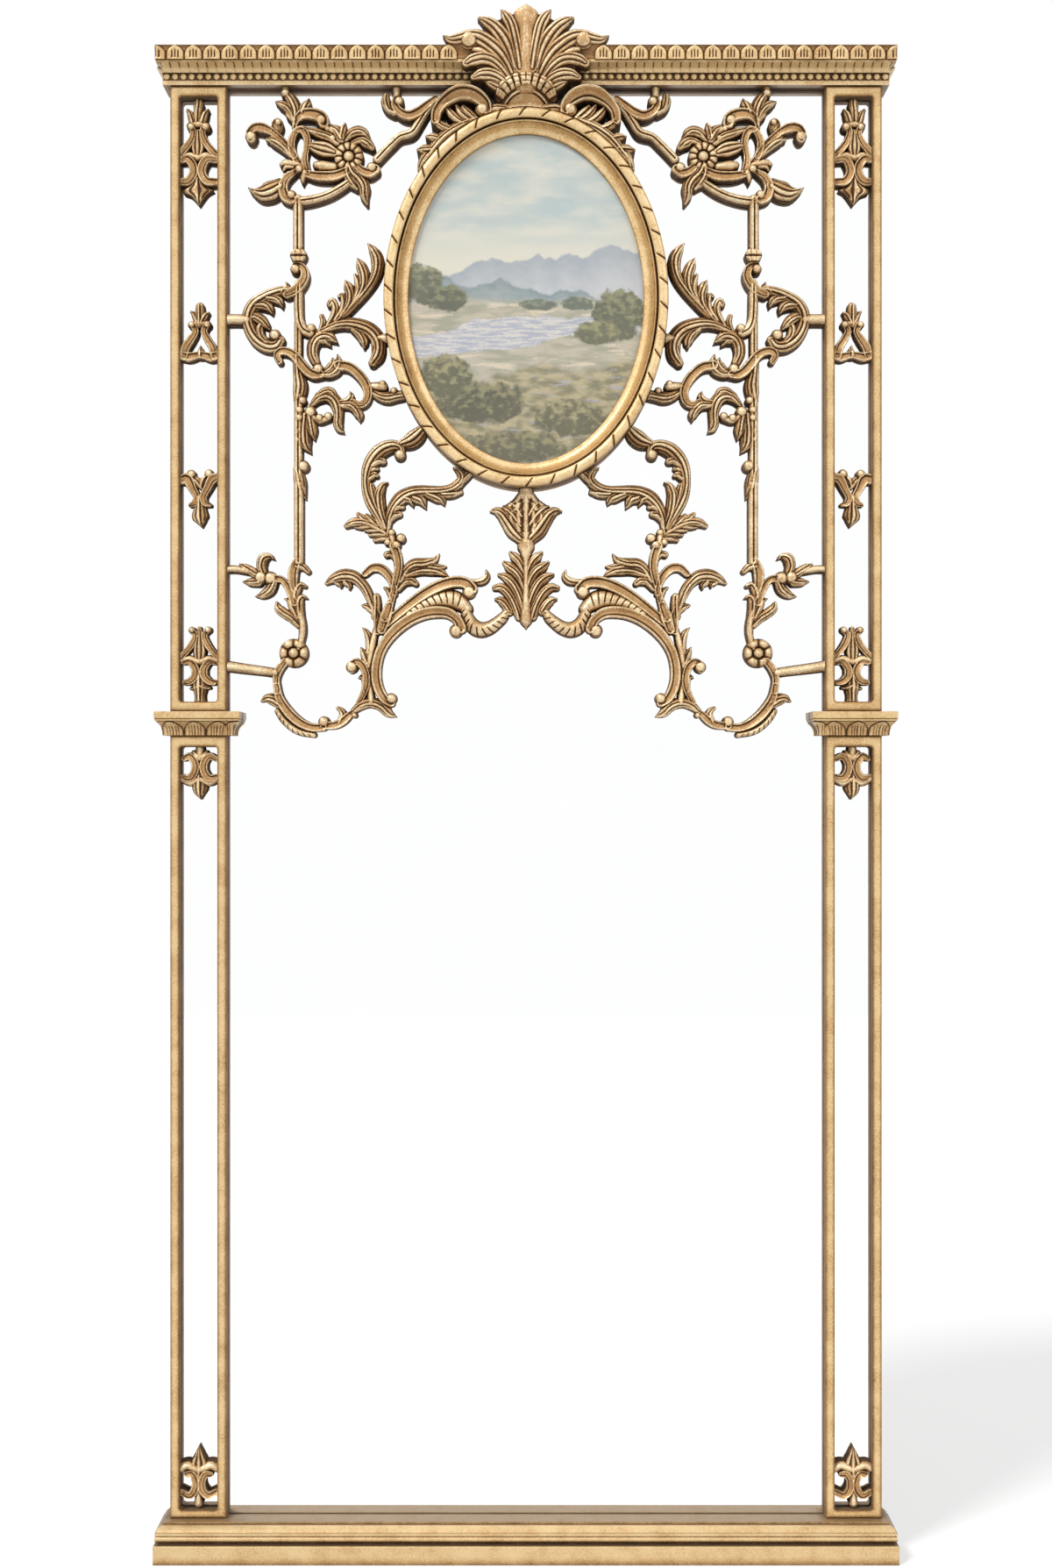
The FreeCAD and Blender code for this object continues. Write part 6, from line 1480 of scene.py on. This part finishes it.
arch_scroll_work = {
    "leaf": [
        [(441, 632, 3.5), (446, 631.5, 3.5), (451, 638, 3), (453, 648, 3)],
        [(371.5, 665, 1.5), (379, 660, 4.5), (390, 656, 6.5), (402, 657, 6.5), (411, 663.5, 5.5),
         (418, 673.5, 5), (423, 686, 4), (428, 700, 4)],
        [(383, 663, 3), (387.5, 666, 3), (388, 669.5, 1)],
        [(394, 663, 4), (398, 667, 3), (398, 671.5, 1)],
        [(429, 680.5, 4), (429, 690, 5), (428.5, 702, 5)],
        [(413.5, 690, 1.5), (419, 691.5, 3.5), (427, 698, 3.5)],
        [(456, 662, 3.5), (463, 650, 4.5), (472, 643.5, 6), (484, 642.5, 6), (495, 638.5, 3.5),
         (501, 631, 0.5)],
        [(463, 655, 4), (478, 650, 5), (492, 649.5, 5.5), (503, 652, 4), (511, 657, 1)],
        [(490, 645, 4), (501, 646.5, 3.5), (508.5, 645.5, 1)],
        [(454, 671, 3.5), (461.5, 663, 4.5), (469, 662, 4.5), (474, 665, 3.2)],
        [(438.5, 670, 1.5), (443, 673.5, 3), (447, 684, 3)],
        [(554.5, 650, 1), (556, 656.5, 3), (551.5, 661.5, 4), (544, 663.5, 3.5), (535, 663, 3)],
        [(413, 715.5, 0.6), (418, 721, 3), (421, 731, 4), (421, 744, 4)],
        [(411.5, 738.5, 1), (415, 745.5, 4), (419, 756, 4)],
        [(409, 773, 1), (413, 771.5, 2.5), (415.5, 778, 3), (415.5, 788, 3)],
        [(402, 811.5, 3), (410, 805, 4.5), (419, 801.5, 5), (428, 802, 5.5), (436, 806, 5.5),
         (443, 813, 4.5), (451, 817, 0.8)],
    ],
    "scroll": [
        [(449, 622, 5.5), (453, 634, 5.5), (454.5, 646, 5), (452, 659, 5), (449.5, 670, 4), (447, 681, 4),
         (443.5, 692, 5), (439, 704, 6.5)],
        [(416, 654, 4), (424, 647.5, 5), (433, 647.5, 5.5), (441, 653.5, 5.5), (447, 664, 4.5),
         (450, 677, 3.5)],
        [(438, 714, 4), (451, 702, 5.5), (465, 690.5, 6), (479, 680, 6.5), (493, 671.5, 7), (507, 665.5, 7),
         (520, 663, 7), (531, 664.5, 7), (538, 671, 7)],
        [(526, 716, 6.5), (521.5, 706.5, 6), (511, 699, 6.5), (497, 697.5, 7), (482, 700, 7),
         (467, 706.5, 7), (453, 716.5, 7), (441.5, 729, 6.5), (433.5, 743, 6), (429.5, 758, 6),
         (429, 773, 6), (432, 786, 6), (438, 796.5, 5.5), (446, 802, 4.5)],
        [(400.5, 764, 4), (401, 757.5, 4), (407, 754.5, 4.5), (413, 759, 5), (417, 768, 4.5),
         (417.5, 779, 5), (414.5, 790, 4), (409, 801, 3.5)],
        [(428, 695, 4.5), (431, 706, 5.5), (430, 720, 4)],
        [(444, 690, 5), (440, 703, 7), (435, 718, 5.5)],
    ],
    "rope": [
        [(529, 688, 6), (533, 702, 7), (539, 713, 9), (548, 717.5, 9), (558, 715.5, 8), (567, 709.5, 7),
         (574.5, 702.5, 6), (579, 694, 3)],
    ],
    "shell": [
        [(452, 711, 3), (467, 699, 5.5), (482, 690, 8), (497, 684, 10), (511, 682.5, 11.5), (523, 686, 11),
         (533, 694, 7)],
    ],
    "plain": [
        [(430, 712, 3), (427, 723, 4), (424, 735, 5), (422, 748, 5), (420, 760, 4)],
        [(423.5, 745, 2.5), (422, 765, 2.5), (422, 780, 3), (423, 800, 5)],
    ],
    "eye": [(520, 719, 7.8), (535, 674.5, 8), (446, 796.5, 6.5), (401, 760.5, 7), (404, 815.5, 3.5)],
}
side_sheet = blank_sheet(-383.6, -14.0, 828.0, 1880.0, 0.85)
daisies = {"corner_spray": {"flower": [(397.5, 177.5, 17)]},
           "lower_drop": {"blossom": [(334.5, 744.5, 16.5)]}}


def broadened(work):
    """The leaf lobes with the full breadth that gesso gives them."""
    broad = [[(a, b, c * 1.18) for a, b, c in points] for points in work.get("leaf", [])]
    return {kind: broad if kind == "leaf" else strokes for kind, strokes in work.items()}


for name, work in (("corner_spray", corner_spray_work), ("corner_spray", corner_rail_work),
                   ("shoulder_scroll", shoulder_scroll_work), ("side_scroll", side_scroll_work),
                   ("feather_leaf", feather_leaf_work), ("flower_drop", flower_drop_work),
                   ("lower_drop", lower_drop_work), ("arabesque", arabesque_work),
                   ("arch_scroll", arch_scroll_work)):
    work_piece(side_sheet, name, broadened(work))
for name, work in daisies.items():
    work_piece(side_sheet, name, work)
free_work(side_sheet, carving_base, on_glass,
          [outside_oval, lambda x, z: -382.4 - x, lambda x, z: z - 1877.0], both_sides)


# ==== centre pendant ====
# A tulip and a palmette under the oval, carved from one piece with the lobes set to each side.
pendant_side_work = {
    "leaf": [
        [(559, 582.3, 0.6), (566, 582, 4), (573, 586, 6), (579, 594, 7), (586, 604, 8), (594, 613, 6)],
        [(575, 577.5, 2), (580, 581, 5), (587, 588, 6), (594, 598, 6)],
        [(583.5, 572.5, 2), (589, 577, 5), (595, 587, 6)],
        [(582.5, 630, 2), (586.5, 634, 4.5), (592.5, 640.5, 4.5), (598, 652, 3)],
        [(575, 641, 2), (580.5, 645.5, 5), (588, 651, 5.5), (594, 659.5, 4.5), (598.5, 672, 3)],
        [(569.5, 655, 2), (576.5, 657.5, 4.5), (584, 663.5, 5.5), (590, 673, 5.2), (595, 686, 4.5),
         (598, 698, 3)],
        [(564.5, 670, 3), (571.5, 669.5, 4.5), (579, 675, 5), (585.5, 685, 5), (590, 696, 5),
         (592, 703, 4)],
        [(565.5, 683, 1.5), (570.5, 684, 4), (576, 688.5, 4.8), (581, 696, 5)],
    ],
}
pendant_middle_work = {
    "plain": [
        [(600, 552, 7), (600, 558, 7.5), (600, 564, 11)],
        [(600, 618, 9.5), (600, 624, 10), (600, 630, 7), (600, 640, 4)],
        [(600, 636, 4.5), (600, 660, 4.5), (600, 680, 5.5), (600, 698, 8), (600, 708, 7.5), (600, 716, 1)],
    ],
    "flutes": [
        [(600, 561, 9), (600, 570, 16), (600, 576, 24), (600, 590, 31), (600, 600, 25), (600, 609, 18),
         (600, 617, 10), (600, 622, 9.5)],
    ],
}


def turned_over(points):
    return [(2 * middle_square - across, down, half) for across, down, half in points]


def mirrored(work):
    """The strokes and bosses of the other side."""
    return {kind: [turned_over(points) for points in strokes] if kind in gouge_work else turned_over(strokes)
            for kind, strokes in work.items()}


def both_ways(work):
    """The same strokes with their mirror images."""
    other = mirrored(work)
    return {kind: strokes + other[kind] for kind, strokes in work.items()}


pendant_sheet = blank_sheet(-52.0, 52.0, 1178.0, 1376.0, 0.7)
work_piece(pendant_sheet, "centre_pendant", broadened(both_ways(pendant_side_work)))
work_piece(pendant_sheet, "centre_pendant", pendant_middle_work)
free_work(pendant_sheet, carving_base, on_glass, [outside_oval], [("", 1)])


# ==== strip ornaments ====
# Small pierced ornaments in the slots of the pilasters, pressed from composition and pinned between the
# bars.
strip_work = {
    "leaf": [
        [(225.5, 110.5, 3), (225.5, 117, 6.2), (224.5, 126, 5), (224, 136, 6)],
        [(213, 123.5, 2), (216, 128, 4), (219, 137, 5)],
        [(236, 123.5, 2), (233, 128, 4), (230, 137, 5)],
        [(225, 203, 4), (225, 210, 10), (225, 216, 18), (225.5, 222, 9), (226, 231, 1.5)],
        [(217, 354, 1.5), (221, 358, 4), (225, 366, 4.5)],
        [(227, 348, 5), (227, 356, 6), (227, 368, 5)],
        [(236.5, 355.5, 2), (233, 359, 4), (229, 367, 4.5)],
        [(227.5, 393, 0.8), (228, 398, 3.5), (228, 404, 5)],
        [(219, 544, 3), (224, 548, 5), (229, 555, 3.5)],
        [(234, 543, 3), (231, 548, 5), (229, 555, 3.5)],
        [(227, 566, 4), (227, 578, 7), (227, 588, 9.5), (228, 594, 6), (229, 600, 1)],
        [(227, 772, 5), (227, 780, 9), (227, 787, 8), (227, 793, 6.5), (227, 800, 6.8)],
        [(217, 785, 2), (222, 783, 4), (227, 781, 5), (232, 783, 4), (238, 784, 2)],
        [(227, 886, 6), (227, 896, 9), (227, 903, 7.5), (228, 911, 1)],
    ],
    "scroll": [
        [(217, 143, 4), (219.5, 150, 3.8), (216, 160, 4.2), (209, 169, 4.5), (204, 175, 4)],
        [(232, 143, 4), (230, 150, 3.8), (233.5, 160, 4.2), (240, 169, 4.5), (247.5, 176, 4)],
        [(206, 181, 4), (213, 180, 5), (219, 187, 5.5), (220, 196, 5.5), (214, 205, 5.5), (205, 206, 4.5)],
        [(246, 181, 4), (236, 180, 5), (230.5, 187, 5.5), (229.5, 196, 5.5), (235, 205, 5.5),
         (246, 206, 4.5)],
        [(219, 369, 4), (222, 377, 4), (217, 386, 5), (211, 395, 5.5), (208.5, 405, 5)],
        [(235, 369, 4), (232, 377, 4), (236, 386, 4.5), (241.5, 395, 5), (244, 405, 5)],
        [(205.5, 404.5, 5.5), (215, 406, 5.5), (227.5, 403.5, 4.2), (239, 406, 5.5), (247, 404.5, 5.5)],
        [(205.5, 546, 6), (213, 546, 7), (219, 557, 5), (223.5, 566, 4.5), (221, 573, 4.5),
         (216, 575, 2.5)],
        [(249, 543, 5.5), (241.5, 546, 6), (236, 556, 5), (231, 566, 4.5), (233, 573, 4),
         (238.5, 575, 2.5)],
        [(217, 718, 3.5), (221.5, 724, 3.8), (218.5, 733, 4.2), (212, 742, 4), (205, 749, 4)],
        [(237, 718, 3.5), (232, 724, 3.8), (235, 733, 4.2), (241, 742, 4), (247.5, 749, 4)],
        [(208, 755, 3), (215.5, 754.5, 4), (221.5, 762, 5), (221.5, 770.5, 5), (216, 776.5, 4.5),
         (210, 778, 3.5)],
        [(245, 755, 3), (238, 754.5, 4), (232, 762, 5), (232, 770.5, 5), (237.5, 776.5, 4.5),
         (243.5, 778, 3.5)],
        [(209, 865, 3.5), (215.5, 862.5, 4.5), (221.5, 870, 5), (221.5, 879, 5), (216, 887, 5),
         (206, 886, 3.5)],
        [(246, 865, 3.5), (237.5, 862.5, 4.5), (232, 870, 5), (232, 879, 5), (237.5, 887, 5),
         (247.5, 886, 3.5)],
        [(212, 1683, 3.5), (218, 1683, 4.5), (222, 1691, 4.5), (221, 1701, 5), (215, 1707, 4.5),
         (206, 1703, 4)],
        [(239.5, 1683, 3.5), (233.5, 1683, 4.5), (229.5, 1691, 4.5), (230.5, 1701, 5), (237, 1707, 4.5),
         (246.5, 1703, 4)],
    ],
    "plain": [
        [(215, 141, 3.5), (224.5, 139.5, 4.5), (234, 141, 3.5)],
        [(205, 178, 3.5), (215, 175, 4), (225, 178, 5), (235, 175, 4), (247.5, 178, 3.5)],
        [(217.5, 368.5, 3.5), (227, 367, 4), (236, 368.5, 3.5)],
        [(205, 753, 3.5), (215, 750.5, 4), (226.5, 754, 5), (238, 750.5, 4), (247.5, 753, 3.5)],
        [(227, 851.5, 5), (227, 857, 5.5), (227, 866, 4)],
        [(206, 889, 3.5), (216, 893, 4), (227, 889, 5), (238, 893, 4), (247.5, 889, 3.5)],
        [(220, 858, 3), (227, 864, 6), (234, 858, 3)],
        [(205, 1676, 6), (213, 1673, 5.5), (226, 1677, 6), (239, 1673, 5.5), (247.5, 1676, 6)],
        [(225.5, 1680, 4), (225.5, 1695, 3.5), (225.5, 1707, 4), (225.5, 1716, 5.5)],
    ],
    "flutes": [
        [(224.5, 148, 3), (224.5, 158, 6), (224.5, 166, 8.5), (224.5, 176, 5)],
        [(226.5, 716, 2.5), (226.5, 728, 5), (226.5, 741, 8), (226.5, 752, 6)],
        [(226, 1652, 0.8), (226, 1662, 6), (226, 1671, 10), (226, 1681, 7)],
    ],
    "eye": [(217, 143, 5), (234, 143, 5.5), (217.5, 369, 4.5), (235.5, 369, 4.8), (217, 540, 5.5),
            (237.5, 539.5, 5.5), (218, 718, 4), (236.5, 718, 4.2)],
}
strip_sheet = blank_sheet(-443.4, -393.4, 52.0, 1872.0, 0.7)
work_piece(strip_sheet, "strip_ornaments", strip_work, 9.0)


def between_rails(x, z):
    return np.minimum(np.maximum(58.6 - z, z - 1033.5), np.maximum(1091.2 - z, z - 1863.6))


free_work(strip_sheet, strip_base, on_glass,
          [lambda x, z: x + 394.3, lambda x, z: -442.5 - x, between_rails], both_sides)


# ==== crest ====
# A fluted palmette over a half dome, with a scrolled arm to each side. It is planted on the front of the
# cornice, and its foot and arms reach down over the glass.
crest_side_work = {
    "dish": [
        [(571.5, 8.5, 0.5), (577, 15.5, 5), (583, 26, 6), (587, 41, 6), (590, 57, 6), (593, 76, 6)],
        [(547, 18.5, 2), (555, 22.5, 5.5), (565, 29.5, 7), (575, 42, 8), (582, 57, 6.5), (587, 76, 5)],
        [(505.5, 38, 0.6), (514, 43, 4.5), (524, 42, 6), (534, 39, 6.5), (545, 40, 7.5), (556, 46, 8),
         (568, 56, 8), (577, 68, 6.5), (584, 82, 5)],
        [(532, 70, 4.5), (540, 66, 6.2), (551, 64, 6.5), (562, 67, 6.2), (572, 75.5, 5.5), (581, 87, 4.5)],
        [(540, 86, 3), (548, 83, 5.5), (558, 82.5, 6.5), (568, 86, 5.8), (578, 93, 4.5)],
        [(553.5, 91, 1), (559, 92.5, 3.5), (567, 96, 4.2), (576, 100, 4)],
    ],
    "plain": [
        [(540.5, 54, 3), (548, 56, 4), (558, 61, 3.5)],
    ],
    "blocks": [
        [(569, 107, 4), (573.5, 99, 6), (582.5, 92, 7), (592, 89, 7), (600, 88, 7)],
    ],
    "eye": [(534.5, 43.5, 9.2)],
}
crest_middle_work = {
    "facet": [
        [(600, 2, 0.6), (600, 7, 9), (600, 12.5, 14), (600, 18, 14.5), (600, 27, 10.5)],
    ],
    "smooth": [
        [(600, 22, 9), (600, 45, 11.5), (600, 65, 15.5), (600, 88, 19)],
    ],
}
crest_arm_work = {
    "scroll": [
        [(496, 131.5, 4.5), (497.5, 122, 5), (503.5, 113, 5.5), (512.5, 106.5, 6), (523, 102.5, 6.3),
         (535, 102.5, 6.3), (545.5, 106.5, 6.3), (553, 113, 5.8), (555, 120, 5)],
    ],
    "leaf": [
        [(556, 121, 3.5), (565, 117, 4), (577, 118, 4.5)],
        [(509, 117, 2), (514, 124, 4), (522, 131, 4), (533, 136.5, 3.5)],
        [(520, 114.5, 1.5), (524, 121, 3.5), (531, 128, 4), (541, 133.5, 3)],
        [(528, 116.5, 2.5), (533, 122, 4), (542, 130, 3.5)],
        [(496, 130, 3), (502, 137, 4.5), (511, 141, 4), (521, 141, 3)],
        [(486, 150, 1.5), (493, 151, 4.5), (503, 154, 3.5)],
        [(476, 165, 1.5), (483, 165, 5), (493, 164.5, 4)],
        [(477, 188, 1.5), (480, 180, 3.5), (486, 172, 5), (493, 167, 3)],
        [(480, 187, 2), (484, 177, 4), (493, 164, 5), (503, 152.5, 5.5), (514, 144, 5.5), (526, 137.5, 5.5),
         (541, 132, 5)],
    ],
    "eye": [(549.5, 119, 6.5)],
}
crest_sheet = blank_sheet(-150.0, 150.0, 1550.0, 1977.0, 0.7)
nearer = 0.989
eye_square = 894
crest_tallest = 11.5
crest_middle_tallest = 9.0
crest_ground = [(600, 13, 9), (600, 17, 25), (600, 30, 46), (600, 42, 50), (600, 60, 56), (600, 78, 56),
                (600, 90, 46), (600, 99, 36)]


def taken_in(points):
    """The crest stands nearer the eye, so its strokes are taken in a little towards eye height."""
    return [(middle_square + (across - middle_square) * nearer, eye_square + (down - eye_square) * nearer,
             half * nearer) for across, down, half in points]


def fuller(points):
    """The lobes as gilded, thick enough to meet each other."""
    return taken_in([(a, b, c * 1.24) for a, b, c in points])


for name, work, tallest, change in (
        ("crest_palmette", {"ground": [crest_ground]}, crest_tallest, taken_in),
        ("crest_palmette", both_ways(crest_side_work), crest_tallest, fuller),
        ("crest_palmette", crest_middle_work, crest_middle_tallest, taken_in),
        ("crest_palmette", {"dome": [(600, 127.5, 30)]}, crest_middle_tallest, taken_in),
        ("crest_arm_left", crest_arm_work, crest_tallest, fuller),
        ("crest_arm_right", mirrored(crest_arm_work), crest_tallest, fuller)):
    work_piece(crest_sheet, name, work, tallest, change)
free_work(crest_sheet, lambda z: 28.0 + 17.0 * eased((z - 1852.0) / 22.0),
          lambda z: np.where(z > 1877.0, 26.0, 0.0), [outside_oval], [("", 1)])
